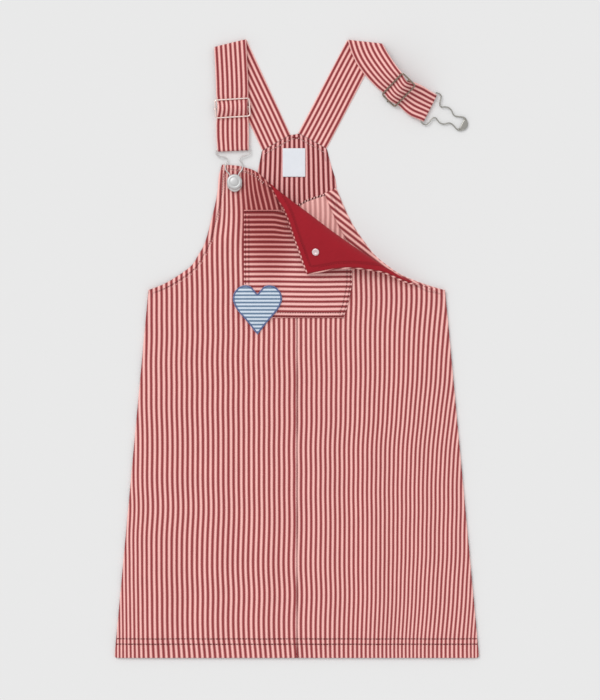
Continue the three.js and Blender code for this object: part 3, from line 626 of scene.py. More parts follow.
# How many stripes lie in 5 mm of the front, at these places from its middle, by height
spreadAt = [-190, -168, -145, -70, 0, 45, 114, 140, 168, 190]
spread = table(
    "height a b c d e f g h i j",
    (-309.5, 1.75, 1.30, 1.00, 0.975, 1.00, 1.085, 1.36, 1.19, 1.17, 1.90),
    (-240, 1.70, 1.28, 0.995, 0.975, 1.00, 1.075, 1.28, 1.18, 1.17, 1.60),
    (-190, 1.60, 1.26, 0.99, 0.975, 1.00, 1.07, 1.22, 1.18, 1.18, 1.40),
    (-110, 1.50, 1.22, 0.99, 0.975, 1.00, 1.065, 1.18, 1.17, 1.18, 1.25),
    (-70, 1.48, 1.21, 0.99, 0.974, 1.00, 1.045, 1.13, 1.13, 1.14, 1.17),
    (-30, 1.44, 1.19, 0.985, 0.972, 1.00, 1.025, 1.08, 1.08, 1.09, 1.10),
    (50, 1.30, 1.12, 0.98, 0.965, 1.00, 1.00, 1.00, 1.00, 1.00, 1.00),
    (200, 1.00, 0.97, 0.95, 0.95, 1.00, 1.00, 1.00, 1.00, 1.00, 1.00),
)
# How far the hem's stripes lean in each millimetre, by place across
hemLean = table(
    "place lean",
    (-182, 0.0), (-160, 0.03), (-95, 0.085), (-30, 0.08), (5, 0.06), (50, 0.0), (105, 0.035),
    (165, 0.07), (182, 0.08),
)
# Waves in the way the stripes lie, each with its turn and start in degrees and radians
wavers = table(
    "amount length turn start",
    (0.16, 74, 84, 0.4), (0.20, 96, 97, 2.1), (0.13, 61, 76, 4.4), (0.10, 52, 103, 1.3),
    (0.08, 43, 90, 3.2), (0.24, 148, 64, 5.3), (0.26, 172, 121, 0.9),
)


def wander(x, y, amount=1.0):
    total = 0
    for size, length, turn, start in zip(*wavers.values()):
        turn = math.radians(turn)
        run = (x * math.cos(turn) * 0.7 + y * math.sin(turn)) * 2 * math.pi / length
        total = total + size * amount * np.sin(run + start)
    return total


# The bib's stripes lean towards the turned-down corner, and away from the armhole
bibLean = {"slope": 0.18, "from": 138, "tall": 45}
armholeLean = {"slope": -0.08, "from": 112, "tall": 72}
hemLeanFrom, rightFrontShift = -290, 3.0


# Adds up the stripes from the left, counts them from the middle, and then leans them
def frontThreads(x, y):
    rows = [between(spread, "height", y, name) for name in "abcdefghij"]
    across, toMiddle = np.zeros_like(x), np.zeros_like(y)
    for index, (low, high) in enumerate(zip(spreadAt[:-1], spreadAt[1:])):
        t = np.clip((x - low) / (high - low), 0, 1)
        across = across + (high - low) * (rows[index] * t + (rows[index + 1] - rows[index]) * t * t / 2)
        if high <= 0:
            toMiddle = toMiddle + (high - low) * (rows[index + 1] + rows[index]) / 2
    across = across - toMiddle
    across = across + between(hemLean, "place", x, "lean") * np.minimum(0, y - hemLeanFrom)
    overBib = rise(x, -58, -36) * rise(-x, 5, 14)
    across = across + bibLean["slope"] * overBib * np.clip(y - bibLean["from"], 0, bibLean["tall"])
    byArmhole = armholeLean["slope"] * rise(-x, 62, 78)
    across = across + byArmhole * np.clip(y - armholeLean["from"], 0, armholeLean["tall"])
    # the right front is cut a little off the left one's stripes
    return across + wander(x, y) + rightFrontShift * (x > 0), y


# The part of an outline on one side of the middle seam
def clipSide(points, side):
    kept = []
    for (ax, ay), (bx, by) in zip(points, np.roll(points, -1, axis=0)):
        here, there = side * ax - gap / 2, side * bx - gap / 2
        if here >= 0:
            kept.append((ax, ay))
        if here * there < 0:
            share = here / (here - there)
            kept.append((side * gap / 2, ay + share * (by - ay)))
    return np.array(kept)


# The turned-down corner's free edges as they are cut: its armhole side, then its neck side
def flapEdges():
    lowAlong = stops(turnDown["armholeEnd"], turnDown["tip"], 3)
    upAlong = stops(turnDown["tip"], turnDown["neckEnd"], 2)
    low = unfold(lowAlong, between(flapArmhole, "along", lowAlong, "across"))
    return low, unfold(upAlong, between(flapNeck, "along", upAlong, "across"))


def frontOutline():
    turns = np.linspace(0, 1, 5)
    corners = []
    for side in (-1, 1):
        turn = (1 + turns / 2 if side < 0 else 1.5 + turns / 2) * np.pi
        middle = side * (front["hemHalf"] - front["hemCorner"])
        x = middle + front["hemCorner"] * np.cos(turn)
        corners.append(np.stack([x, front["hem"] + front["hemCorner"] * (1 + np.sin(turn))], axis=1))
    (lowX, lowY), upEdge = flapEdges()
    neckX = stops(-30.5, -74.7, 3)
    neck = (neckX, between(neckEdge, "x", neckX, "y"))
    heights = stops(183.9, 58.5, 3)[1:]
    armhole = (-between(frontArmhole, "height", heights, "half"), heights)
    side = np.array([(front["underarmHalf"], front["underarm"]), (131.5, 61.6)])
    curves = [np.stack(curve, axis=1) for curve in ((lowX[:-1], lowY[:-1]), upEdge, neck, armhole)]
    return np.concatenate([*corners, side, *curves])


# Points for the folded pieces, in lines along the fold, and closest where it rolls: from, to, step
beyondSteps = [(-485, -36, 3.3), (-34, -9, 2.1), (-8, 14, 0.9), (16, 80, 2.3)]
foldPoints = gridOf(stops(-65, 455, 3.3), np.concatenate([stops(*steps) for steps in beyondSteps]))
foldGrid = np.stack(fromFold(*foldPoints.T), axis=1)


def layFolded(name, outline, finishes, thick, middle, threads):
    return layCloth(name, spaced(outline, 2.6), foldGrid, layFront, finishes, thick, middle, threads)


pieces = {}
bodyFinishes = [skirtTwill, skirtTwill]
wholeFront = frontOutline()
for side, name in ((-1, "front_left"), (1, "front_right")):
    half = clipSide(wholeFront, side)
    pieces[name] = layFolded(name + "_cloth", half, bodyFinishes, clothThick, 0, frontThreads)
print("front laid")


def facingOutline():
    inset = bibFacing["inset"]
    low, up = (toFold(*line) for line in flapEdges())
    lowSide = np.full(len(low[0]), -inset)
    lowSide[-1] = 0
    rows = [(low[0] + lowSide, low[1] - inset), (up[0][1:] + inset, up[1][1:] - inset)]
    edge = np.concatenate([np.stack(row, axis=1) for row in rows])
    foot = stops(edge[-1, 0], edge[0, 0], 4)
    base = np.stack([foot, rollAt(foot)[2] - bibFacing["underFold"]], axis=1)
    around = np.concatenate([edge, base])
    return np.stack(fromFold(*around.T), axis=1)


def facingThreads(x, y):
    along, beyond = toFold(x, y)
    straight, aslant = bibFacing["grain"]
    return along * straight + beyond * aslant, beyond * straight - along * aslant


pieces["bib_facing"] = layFolded(
    "bib_facing_cloth", facingOutline(), [redTwill], thinCloth, facingMiddle, facingThreads
)

pocket = {
    "left": -52.8, "right": 55.2, "top": 138.5, "bottom": 30.5, "pitch": 4.94, "dip": 2.0,
    "corner": [(0, 33), (3.3, 16.3), (5, 9.7), (8.7, 0)],           # inward, up
}
pocketMiddle = clothThick + gap


def pocketOutline():
    left, right, top = pocket["left"], pocket["right"], pocket["top"]
    low = [(left + inward, pocket["bottom"] + up) for inward, up in pocket["corner"]]
    return [*low, *[(left + right - x, y) for x, y in low[::-1]], (right, top), (left, top)]


# The pocket's stripes run across it, and dip beside the turned-down corner
def pocketThreads(x, y):
    dip = pocket["dip"] * rise(x, -24, -9) * rise(y, 104, 124)
    return (y + dip) * 5 / pocket["pitch"] + wander(y, x, 0.5), x


pieces["pocket"] = layFolded(
    "pocket_cloth", pocketOutline(), [pocketTwill], clothThick, pocketMiddle, pocketThreads
)

heart = {
    "middle": -39.3, "step": 1.3, "mesh": 2,
    "side": [                           # half of its outline, from the notch round to the tip
        (0, 54.3), (2.7, 57.7), (6.1, 61.5), (9.6, 63), (13, 63.2), (17.2, 62), (20.6, 59.4),
        (23.2, 56), (24.3, 52.2), (24.5, 48.3), (23.2, 44), (21.1, 39.8), (17.2, 34.7), (8.7, 24.9),
        (2.7, 17), (0, 13.8),
    ],
}


# The heart lies on the pocket, and steps down to the front past its edge
def layHeart(x, y, up):
    low = clothThick / 2 + gap + thinCloth / 2
    high = low + clothThick + gap
    past = np.hypot(np.maximum(0, pocket["left"] - x), np.maximum(0, pocket["bottom"] - y))
    return layFront(x, y, up + high + (low - high) * rise(past, 1, 5))


def heartOutline():
    half = np.array(heart["side"])
    steps = np.concatenate([[0], np.cumsum(np.hypot(*np.diff(half, axis=0).T))])
    rows = {"at": steps, "x": half[:, 0], "y": half[:, 1]}
    at = stops(0, steps[-1], heart["step"])
    x, y = between(rows, "at", at, "x"), between(rows, "at", at, "y")
    right = np.stack([heart["middle"] + x, y], axis=1)
    left = np.stack([heart["middle"] - x, y], axis=1)[1:-1]
    return np.concatenate([left, right[::-1]])


heartAcross = stops(heart["middle"] - 26, heart["middle"] + 26, heart["mesh"])
pieces["heart_patch"] = layCloth(
    "heart_patch_cloth", heartOutline(), gridOf(heartAcross, stops(12, 65, heart["mesh"])), layHeart,
    [heartTwill], thinCloth, 0, lambda x, y: (y, x),
)


def flatOn(height):
    return lambda x, y, up: np.stack([x, y, height + up], axis=-1)


yoke = {
    "right": [(32.4, 190.6), (35.2, 180.3), (38.5, 170.2), (39.8, 161.5)],
    "left": [(-37, 186.8), (-39.2, 177), (-40.2, 167.6), (-39.8, 161.5)],
    "seam": [(39.5, 160.2), (33, 155.3), (21.2, 151.6), (9.6, 147.6), (0, 141.8)],
    "thick": 1.0, "spread": 1.03, "fan": 0.0012, "fanFrom": 175,
}
backSkirt = {"inset": 0.6, "corner": 4, "seamInset": 0.5, "thick": 1.0, "spread": 0.99}


def backOutline():
    seam = [(x + (backSkirt["seamInset"] if x > 0 else 0), y - 1.5 * gap) for x, y in yoke["seam"]]
    heights = stops(58.5, 143.5, 4)
    right = list(zip(between(backArmhole, "height", heights, "half"), heights))
    left = [(-x, y) for x, y in reversed(right)]
    low, wide = front["hem"] + backSkirt["inset"], front["hemHalf"] - backSkirt["inset"]
    corner = backSkirt["corner"]
    mirrored = [(-x, y) for x, y in reversed(seam[:-1])]
    corners = [(-wide + corner, low), (wide - corner, low), (wide, low + corner)]
    return [*corners, *right, *seam, *mirrored, *left, (-wide, low + corner)]


pieces["back_skirt"] = layCloth(
    "back_skirt_cloth", spaced(backOutline(), 4), gridOf(stops(-183, 183, 5), stops(-310, 162, 5)),
    flatOn(clothThick / 2), [wrongTwill, skirtTwill], backSkirt["thick"], 0,
    lambda x, y: (x * backSkirt["spread"] + wander(x, y), y),
)
print("body laid")


# Hardware in millimetres: half sizes of the slider's frame, and the wires' radii
slider = {"halfWide": 17.1, "halfLong": 8.9, "nub": 1.8, "wire": 0.8, "corner": 2.2, "pinch": 0.08}
clip = {
    "wire": 0.65, "plateFrom": 34.8, "plateTo": 41, "plateHalf": 5.9, "plateRound": 0.8, "knob": 1.15,
    "edge": [                           # from the bar round to the plate: reach, half width
        (-2.15, 15.9), (-1.1, 16.8), (2.6, 16.9), (4.6, 14.6), (5.8, 9.4), (7.4, 6.6), (9.6, 6.4),
        (12.2, 7.8), (15.6, 8.7), (19.4, 7.8), (22.4, 5.2), (25, 4.3), (28, 4.9), (31.5, 6.3),
        (34.5, 6.9), (37.2, 5.6), (39.4, 2.9),
    ],
    "dome": [(1, -0.55), (1, 0.35), (0.82, 0.62), (0.45, 0.72), (0.12, 0.74)],      # share, height
}
wrap = slider["wire"] + gap + clothThick / 2
barWrap = clip["wire"] + gap + clothThick / 2
strapCut = {
    "width": 32.2, "roll": 1.8, "topTo": 25, "belowSlider": 1.5, "sliderWay": 16, "barWay": 14,
    "pitch": 4.64, "firstStripe": 2.5, "sway": 0.25, "swayLength": 19, "swing": 0.9, "swingWay": 8,
}
straps = {
    "left": {
        "top": (-66.6, 305.6), "foldTurn": 13.8, "slider": 65.4, "sliderTurn": 3.3, "sliderAside": 0,
        "bar": 106, "barPinch": 0.03, "clipTilt": 3.2, "yokeCorners": [(-34.9, 197.3), (-6.5, 213.4)],
        "rows": table(
            "along heading lift twist",
            (0, -87.2, 4.2, 0), (35, -87.6, 4.9, 0), (65.4, -89.8, 5.5, 0), (80, -90, 5.0, 0),
            (106, -87.4, 2.4, 0),
        ),
    },
    "right": {
        "top": (68.2, 307), "foldTurn": -6.3, "slider": 60.3, "sliderTurn": -2.5, "sliderAside": -0.1,
        "bar": 95, "barPinch": 0.07, "clipTilt": -1.2, "yokeCorners": [(2, 215), (30.2, 199.6)],
        "rows": table(
            "along heading lift twist",
            (0, -74.8, 4.2, 0), (20, -59, 6.6, 14), (38, -52.5, 10.4, 28), (50, -46, 12.6, 35),
            (60.3, -42, 13, 35), (70, -30, 12.6, 34), (83, -24, 7.6, 14), (95, -26.5, 2.4, 0),
        ),
    },
}


# A strap's front stretch runs on from its top fold by its heading, and place lays the whole strap.
# Lengths are along the strap from that fold: down the front, round the clip's bar and back up.
class LaidStrap:
    def __init__(self, strap):
        self.strap = strap
        step = 0.5
        at = np.arange(0, strap["bar"] + 4, step)
        heading = np.radians(between(strap["rows"], "along", at + step / 2, "heading"))
        ways = np.stack([np.cos(heading), np.sin(heading)], axis=1) * step
        fromTop = np.concatenate([np.zeros((1, 2)), np.cumsum(ways, axis=0)[:-1]])
        self.at, self.places = at, np.array(strap["top"]) + fromTop
        through, bar, halfLong = strap["slider"], strap["bar"], slider["halfLong"]
        # the cloth's height over the hardware's middle, on the way down and on the way back
        layers = clothThick + gap + 0.1
        self.down = table(
            "along offset",
            (0, 0), (through - halfLong - 14, -1.2), (through - halfLong - 4, -wrap),
            (through - halfLong, -wrap - 0.1), (through - 2.2, wrap - 0.1), (through, wrap + 0.15),
            (through + 2.2, wrap - 0.1), (through + halfLong, -wrap - 0.1),
            (through + halfLong + 4, -wrap), (bar - 7, barWrap - 0.9), (bar, barWrap),
        )
        self.back = table(
            "along offset",
            (through + 1, -wrap - 0.2), (through + halfLong - 3, -wrap - layers),
            (through + halfLong + 5, -wrap - layers), (bar - 12, -wrap - 0.6), (bar, -barWrap),
        )
        turn = math.radians(strap["foldTurn"])
        self.beyondWay = np.array([-math.sin(turn), math.cos(turn)])
        self.topHeight = strap["rows"]["lift"][0]

    # Where the strap's middle line is, and which way it goes
    def run(self, along):
        heading = np.radians(between(self.strap["rows"], "along", along, "heading"))
        way = np.stack([np.cos(heading), np.sin(heading)], axis=-1)
        inner = np.clip(along, 0, self.at[-1])
        x = np.interp(inner, self.at, self.places[:, 0])
        y = np.interp(inner, self.at, self.places[:, 1])
        before = np.minimum(along, 0)
        return np.stack([x + before * way[..., 0], y + before * way[..., 1]], axis=-1), way

    # A place across and off the twisted strap, pinched where it is in the slider and on the bar
    def turned(self, across, along, offset):
        at, way = self.run(along)
        twist = np.radians(between(self.strap["rows"], "along", along, "twist"))
        lift = between(self.strap["rows"], "along", along, "lift")
        near = np.maximum(0, 1 - ((along - self.strap["slider"]) / strapCut["sliderWay"]) ** 2)
        end = np.maximum(0, 1 - ((along - self.strap["bar"]) / strapCut["barWay"]) ** 2)
        across = across * (1 - slider["pinch"] * near * near - self.strap["barPinch"] * end * end)
        side = across * np.cos(twist) + offset * np.sin(twist)
        up = offset * np.cos(twist) - across * np.sin(twist)
        x, y = at[..., 0] + side * way[..., 1], at[..., 1] - side * way[..., 0]
        return np.stack([x, y, lift + up], axis=-1)

    def place(self, across, along, up):
        strap, bar, roll = self.strap, self.strap["bar"], strapCut["roll"]
        tilt = math.tan(math.radians(strap["sliderTurn"])) * across
        # round the clip's bar and back up under the front stretch
        past = np.maximum(along - bar, 0)
        turn = np.minimum(past / barWrap, np.pi)
        over = np.maximum(0, past - np.pi * barWrap)
        onBar = self.turned(across, np.full_like(along, bar), (barWrap + up) * np.cos(turn))
        way = self.run(np.full_like(along, bar))[1]
        out = (barWrap + up) * np.sin(turn)
        onBar = onBar + np.stack([out * way[..., 0], out * way[..., 1], 0 * out], axis=-1)
        at = bar - over
        offset = between(self.back, "along", at - tilt * rise(bar - at, 0, 20), "offset")
        under = self.turned(across, at, offset - up)
        # down the front, through the slider
        shifted = along - tilt * rise(along, 10, 30) * rise(bar - along, 0, 20)
        down = self.turned(across, along, between(self.down, "along", shifted, "offset") + up)
        # over the top fold and down the back
        flatAt, flatWay = self.run(along)
        flat = flatAt + np.stack([across * flatWay[..., 1], -across * flatWay[..., 0]], axis=-1)
        length = (flat - np.array(strap["top"])) @ self.beyondWay + roll + clothThick / 2
        turn = np.clip(length / roll, 0, np.pi)
        shift = (roll + up) * np.sin(turn) - np.maximum(0, length - np.pi * roll) - length
        height = self.topHeight - roll + (roll + up) * np.cos(turn)
        x, y = flat[..., 0] + shift * self.beyondWay[0], flat[..., 1] + shift * self.beyondWay[1]
        folded = np.stack([x, y, height], axis=-1)
        overTop = (along <= strapCut["topTo"]) & (length > 0)
        result = np.where(overTop[..., None], folded, down)
        result = np.where((along > bar)[..., None], onBar, result)
        return np.where((past > np.pi * barWrap)[..., None], under, result)

    # Its flat cut, from its end at the yoke to the end that is under the slider
    def outline(self):
        way = self.run(np.array(0.0))[1]
        roll = strapCut["roll"]
        start = clothThick / 2 + roll
        corners = []
        for corner in self.strap["yokeCorners"]:
            away = np.array(corner) - self.strap["top"]
            reach = away @ self.beyondWay
            flat = away + (np.pi * roll - 2 * start - 2 * reach) * self.beyondWay
            corners.append((flat[0] * way[1] - flat[1] * way[0], flat @ way))
        (x0, y0), (x1, y1) = corners
        slope = (y1 - y0) / (x1 - x0)
        half = strapCut["width"] / 2
        wholeRun = self.strap["bar"] * 2 + np.pi * barWrap
        self.last = wholeRun - self.strap["slider"] - strapCut["belowSlider"]
        end = [y0 + slope * (side - x0) + gap for side in (half, -half)]
        self.first = min(end)
        return [(half, end[0]), (half, self.last), (-half, self.last), (-half, end[1])]

    # Rows of points, closest together at the top fold, in the slider and round the bar
    def grid(self):
        bar, through, halfTurn = self.strap["bar"], self.strap["slider"], np.pi * barWrap
        steps = [
            (self.first, -18, 3), (-16, 16, 0.8), (18.5, through - 12, 2.5),
            (through - 11, through + 11, 0.9), (through + 12.5, bar - 2, 2),
            (bar - 1, bar + halfTurn + 1, 0.45), (bar + halfTurn + 3, self.last, 2.5),
        ]
        return gridOf(stops(-14, 14, 2.33), np.concatenate([stops(*row) for row in steps]))


# The stripes sway along the strap, and swing aside a little inside the slider
def strapThreads(x, y, through):
    near = np.maximum(0, 1 - ((y - through) / strapCut["swingWay"]) ** 2)
    across = x * 5 / strapCut["pitch"] + strapCut["firstStripe"]
    return across + strapCut["sway"] * np.sin(y / strapCut["swayLength"]) + strapCut["swing"] * near, y


laidStraps = {}
for side, strap in straps.items():
    laid = LaidStrap(strap)
    laidStraps[side] = laid
    edge = spaced(laid.outline(), 1.6)
    pieces["strap_" + side] = layCloth(
        f"strap_{side}_cloth", edge, laid.grid(), lambda x, y, up, laid=laid: laid.place(x, y, up),
        [strapTwill, strapTwill], clothThick, 0, lambda x, y, at=strap["slider"]: strapThreads(x, y, at),
    )
print("straps laid")


def yokeOutline():
    corners = [corner for strap in straps.values() for corner in strap["yokeCorners"]]
    mirrored = [(-x, y) for x, y in yoke["seam"][:-1]]
    return [*mirrored, *yoke["seam"][::-1], *yoke["right"][::-1], *corners[::-1], *yoke["left"]]


# The yoke's stripes fan out a little towards the straps
def yokeThreads(x, y):
    fan = 1 + (y - yoke["fanFrom"]) * yoke["fan"]
    return x * fan * yoke["spread"] + wander(x, y, 0.4), y


pieces["back_yoke"] = layCloth(
    "back_yoke_cloth", spaced(yokeOutline(), 2.5), gridOf(stops(-40, 40, 2.5), stops(141, 213, 2.5)),
    flatOn(clothThick / 2), [yokeTwill, yokeTwill], yoke["thick"], 0, yokeThreads,
)


armholeFacing = {"width": 12.5, "length": 148, "inset": 0.6, "bias": 38}


# A strip inside the right armhole, from the yoke's end to the underarm
def armholeFacingOutline():
    inset, heights = armholeFacing["inset"], stops(143.5, 63.5, 3)
    outer = np.stack([between(backArmhole, "height", heights, "half") - inset, heights - inset], axis=1)
    outer = np.concatenate([[(39.8 - inset, 160.8 - inset)], outer])
    ways = np.gradient(outer, axis=0)
    ways /= np.hypot(*ways.T)[:, None]
    inner = outer + np.stack([ways[:, 1], -ways[:, 0]], axis=1) * armholeFacing["width"]
    return np.concatenate([outer[::-1], inner])


def biasThreads(x, y):
    turn = math.radians(armholeFacing["bias"])
    return x * math.sin(turn) + y * math.cos(turn), y * math.sin(turn) - x * math.cos(turn)


pieces["armhole_facing"] = layCloth(
    "armhole_facing_cloth", spaced(armholeFacingOutline(), 2.5),
    gridOf(stops(20, 140, 2.5), stops(40, 170, 2.5)), flatOn(clothThick + gap + thinCloth / 2),
    [skirtTwill, wrongTwill], thinCloth, 0, biasThreads,
)


label = {"x": -2.8, "y": 186, "width": 22.7, "height": 28.6, "thick": 0.8}


def labelOutline():
    sides = [(-1, -1), (1, -1), (1, 1), (-1, 1)]
    return [(label["x"] + a * label["width"] / 2, label["y"] + b * label["height"] / 2) for a, b in sides]


pieces["neck_label"] = layCloth(
    "neck_label_tape", spaced(labelOutline(), 1.6), gridOf(stops(-16, 11, 1.6), stops(170, 202, 1.6)),
    flatOn(clothThick + gap + thinCloth / 2), [tapeWhite], label["thick"], 0,
    lambda x, y: (x, y),
)

stitchKinds = {                         # metres: from one stitch to the next, then its own size
    "topstitch": {"Pitch": 0.0029, "Length": 0.0025, "Width": 0.001, "Height": 0.0005},
    "fine": {"Pitch": 0.0025, "Length": 0.0018, "Width": 0.0008, "Height": 0.0005},
    "satin": {"Pitch": 0.00042, "Length": 0.0022, "Width": 0.0006, "Height": 0.0006},
    "overlock": {"Pitch": 0.0032, "Length": 0.0029, "Width": 0.0015, "Height": 0.0006},
    "tack": {"Pitch": 0.0005, "Length": 0.0016, "Width": 0.0008, "Height": 0.0008},
}


# A tree that sets one stitch at each step along the lines of a mesh, as its way and out point
def stitchTree():
    tree = bpy.data.node_groups.new("stitches along lines", "GeometryNodeTree")
    tree.interface.new_socket("Geometry", in_out="INPUT", socket_type="NodeSocketGeometry")
    for name in ("Pitch", "Length", "Width", "Height", "Unevenness"):
        tree.interface.new_socket(name, in_out="INPUT", socket_type="NodeSocketFloat")
    tree.interface.new_socket("Seed", in_out="INPUT", socket_type="NodeSocketInt")
    tree.interface.new_socket("Thread", in_out="INPUT", socket_type="NodeSocketMaterial")
    tree.interface.new_socket("Geometry", in_out="OUTPUT", socket_type="NodeSocketGeometry")

    def node(kind, settings=(), **links):
        made = tree.nodes.new(kind)
        for key, value in dict(settings).items():
            setattr(made, key, value)
        for key, value in links.items():
            socket = made.inputs[key.replace("_", " ")]
            if isinstance(value, bpy.types.NodeSocket):
                tree.links.new(value, socket)
            else:
                socket.default_value = value
        return made

    given = node("NodeGroupInput").outputs
    lines = node("GeometryNodeMeshToCurve", Mesh=given["Geometry"])
    even = {"mode": "LENGTH"}
    steps = node("GeometryNodeResampleCurve", even, Curve=lines.outputs[0], Length=given["Pitch"])
    vectors = {"data_type": "FLOAT_VECTOR"}
    way = node("GeometryNodeInputNamedAttribute", vectors, Name="way")
    out = node("GeometryNodeInputNamedAttribute", vectors, Name="out")
    turn = node("FunctionNodeAxesToRotation", {"primary_axis": "X", "secondary_axis": "Z"})
    tree.links.new(way.outputs[0], turn.inputs[0])
    tree.links.new(out.outputs[0], turn.inputs[1])
    least = node("ShaderNodeMath", {"operation": "SUBTRACT"})
    least.inputs[0].default_value = 1
    tree.links.new(given["Unevenness"], least.inputs[1])
    share = node("FunctionNodeRandomValue", Seed=given["Seed"], Max=1.0)
    tree.links.new(least.outputs[0], share.inputs[2])
    size = node("ShaderNodeCombineXYZ", X=given["Length"], Y=given["Width"], Z=given["Height"])
    scaled = node("ShaderNodeVectorMath", {"operation": "SCALE"})
    tree.links.new(size.outputs[0], scaled.inputs[0])
    tree.links.new(share.outputs[1], scaled.inputs["Scale"])
    stitch = node("GeometryNodeMeshIcoSphere", Radius=0.5, Subdivisions=1)
    placed = node(
        "GeometryNodeInstanceOnPoints", Points=steps.outputs[0], Instance=stitch.outputs[0],
        Rotation=turn.outputs[0], Scale=scaled.outputs[0],
    )
    real = node("GeometryNodeRealizeInstances", Geometry=placed.outputs[0])
    finished = node("GeometryNodeSetMaterial", Geometry=real.outputs[0], Material=given["Thread"])
    tree.links.new(finished.outputs[0], node("NodeGroupOutput").inputs[0])
    return tree


stitching = stitchTree()
stitchSeed = 1


# Lines of thread on a laid surface. Each line is flat points, and lean turns its stitches off its way.
def sew(name, lines, place, up, kind, material, lean=0, unevenness=0.25):
    positions, ways, outs, edges = [], [], [], []
    for line in lines:
        line = spaced(line, 1.2, False)
        x, y = line.T
        back, at, over = (place(x, y, np.full(len(x), up + step)) for step in (-0.5, 0, 0.5))
        out = over - back
        way = np.gradient(at, axis=0)
        side = np.cross(out, way)
        side /= np.linalg.norm(side, axis=1)[:, None]
        way /= np.linalg.norm(way, axis=1)[:, None]
        turn = math.radians(lean)
        first = sum(len(p) for p in positions)
        edges += [(first + k, first + k + 1) for k in range(len(line) - 1)]
        positions.append(at)
        ways.append(way * math.cos(turn) + side * math.sin(turn))
        outs.append(out)
    mesh = bpy.data.meshes.new(name)
    mesh.from_pydata((np.concatenate(positions) * millimetre).tolist(), edges, [])
    for key, values in (("way", ways), ("out", outs)):
        layer = mesh.attributes.new(key, "FLOAT_VECTOR", "POINT")
        layer.data.foreach_set("vector", np.concatenate(values).ravel())
    piece = bpy.data.objects.new(name, mesh)
    bpy.context.scene.collection.objects.link(piece)
    modifier = piece.modifiers.new("stitches", "NODES")
    modifier.node_group = stitching
    values = {**stitchKinds[kind], "Unevenness": unevenness, "Seed": stitchSeed, "Thread": material}
    for socket in stitching.interface.items_tree:
        if socket.in_out == "INPUT" and socket.name in values:
            modifier[socket.identifier] = values[socket.name]
    graph = bpy.context.evaluated_depsgraph_get()
    sewn = bpy.data.meshes.new_from_object(piece.evaluated_get(graph))
    piece.modifiers.remove(modifier)
    piece.data = sewn
    bpy.data.meshes.remove(mesh)
    sewn.name = name
    sewn.materials.clear()
    sewn.materials.append(material)
    sewn.polygons.foreach_set("use_smooth", [True] * len(sewn.polygons))
    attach(piece, "root")
    return piece


# A line of flat points moved sideways, to the left of the way it runs
def beside(points, distance):
    points = np.asarray(points, float)
    ways = np.gradient(points, axis=0)
    ways /= np.hypot(*ways.T)[:, None]
    return points + np.stack([-ways[:, 1], ways[:, 0]], axis=1) * distance


def threadFinish(name, colour):
    return Finish(name, Base_Color=colour, Roughness=0.7, Specular_IOR_Level=0.3).material


paleThread = threadFinish("pale thread", srgb(238, 196, 190))
darkThread = threadFinish("dark thread", srgb(98, 24, 28))
redThread = threadFinish("red thread", srgb(128, 14, 28))
blueThread = threadFinish("blue thread", srgb(98, 110, 156))
stitchLift = 0.12                       # a stitch's middle over the cloth, in millimetres

seams = {}


# Sews lines on a node's cloth, and names the piece for the node, the kind of stitch and its turn
def seam(node, lines, place, up, kind, material, **options):
    name = f"{node}_{kind}_{len(seams.setdefault(node, []))}"
    seams[node].append(sew(name, lines, place, up, kind, material, **options))


def armholeLine(low, step, side):
    heights = stops(low, 183, step)
    return np.stack([side * between(frontArmhole, "height", heights, "half"), heights], axis=1)


frontSewing = {"hemRows": (-290.3, -295.7), "neckRows": (-3.2, -4.9), "armhole": 6.6, "corner": 4.6}
onFront = clothThick / 2 + stitchLift
for side, node in ((-1, "front_left"), (1, "front_right")):
    for y in frontSewing["hemRows"]:
        x = side * stops(1.2, sideHalfAt(y) - 1.6, 6)
        line = np.stack([x, np.full_like(x, y)], axis=1)
        seam(node, [line], layFront, onFront, "topstitch", darkThread)
neckX = stops(-74, -31, 2)
neckLine = np.stack([neckX, between(neckEdge, "x", neckX, "y")], axis=1)
neckRows = [beside(neckLine, distance) for distance in frontSewing["neckRows"]]
seam("front_left", neckRows, layFront, onFront, "fine", paleThread)
armholeRow = beside(armholeLine(62, 3, -1)[1:], -frontSewing["armhole"])
seam("front_left", [armholeRow], layFront, onFront, "fine", paleThread)
leftRow = beside(armholeLine(59, 2, -1), -frontSewing["corner"])[1:]
seam("front_left", [leftRow], layFront, onFront, "fine", darkThread)
rightRow = beside(armholeLine(59, 2, 1), frontSewing["corner"])[1:5]        # up to the fold
seam("front_right", [rightRow], layFront, onFront, "fine", darkThread)

pocketSewing = {"sideRows": (1.5, 5), "topRows": (1.2, 17), "start": 3}
onPocket = pocketMiddle + clothThick / 2 + stitchLift
left, right, top = pocket["left"], pocket["right"], pocket["top"]
start = top - pocketSewing["start"]
around = spaced([(left, start), *pocketOutline()[:8], (right, start)], 2, False)
for inset in pocketSewing["sideRows"]:
    seam("pocket", [beside(around, inset)], layFront, onPocket, "fine", darkThread)
for drop in pocketSewing["topRows"]:
    topRow = [(left + 1, top - drop), (right - 1, top - drop)]
    seam("pocket", [topRow], layFront, onPocket, "fine", darkThread)

heartLoop = heartOutline()
heartRow = beside(np.concatenate([heartLoop, heartLoop[:1]]), 0.9)
seam("heart_patch", [heartRow], layHeart, thinCloth / 2, "satin", blueThread, lean=90)

# The corner's facing is sewn down inside its two edges
for edge, low, high in ((flapArmhole, 160, 88), (flapNeck, 84, 12)):
    along = stops(low, high, 3)
    line = np.stack(unfold(along, between(edge, "along", along, "across")), axis=1)
    seam("bib_facing", [beside(line, 5.5)[2:-2]], layFront, -(facingFace + 0.1), "fine", redThread)

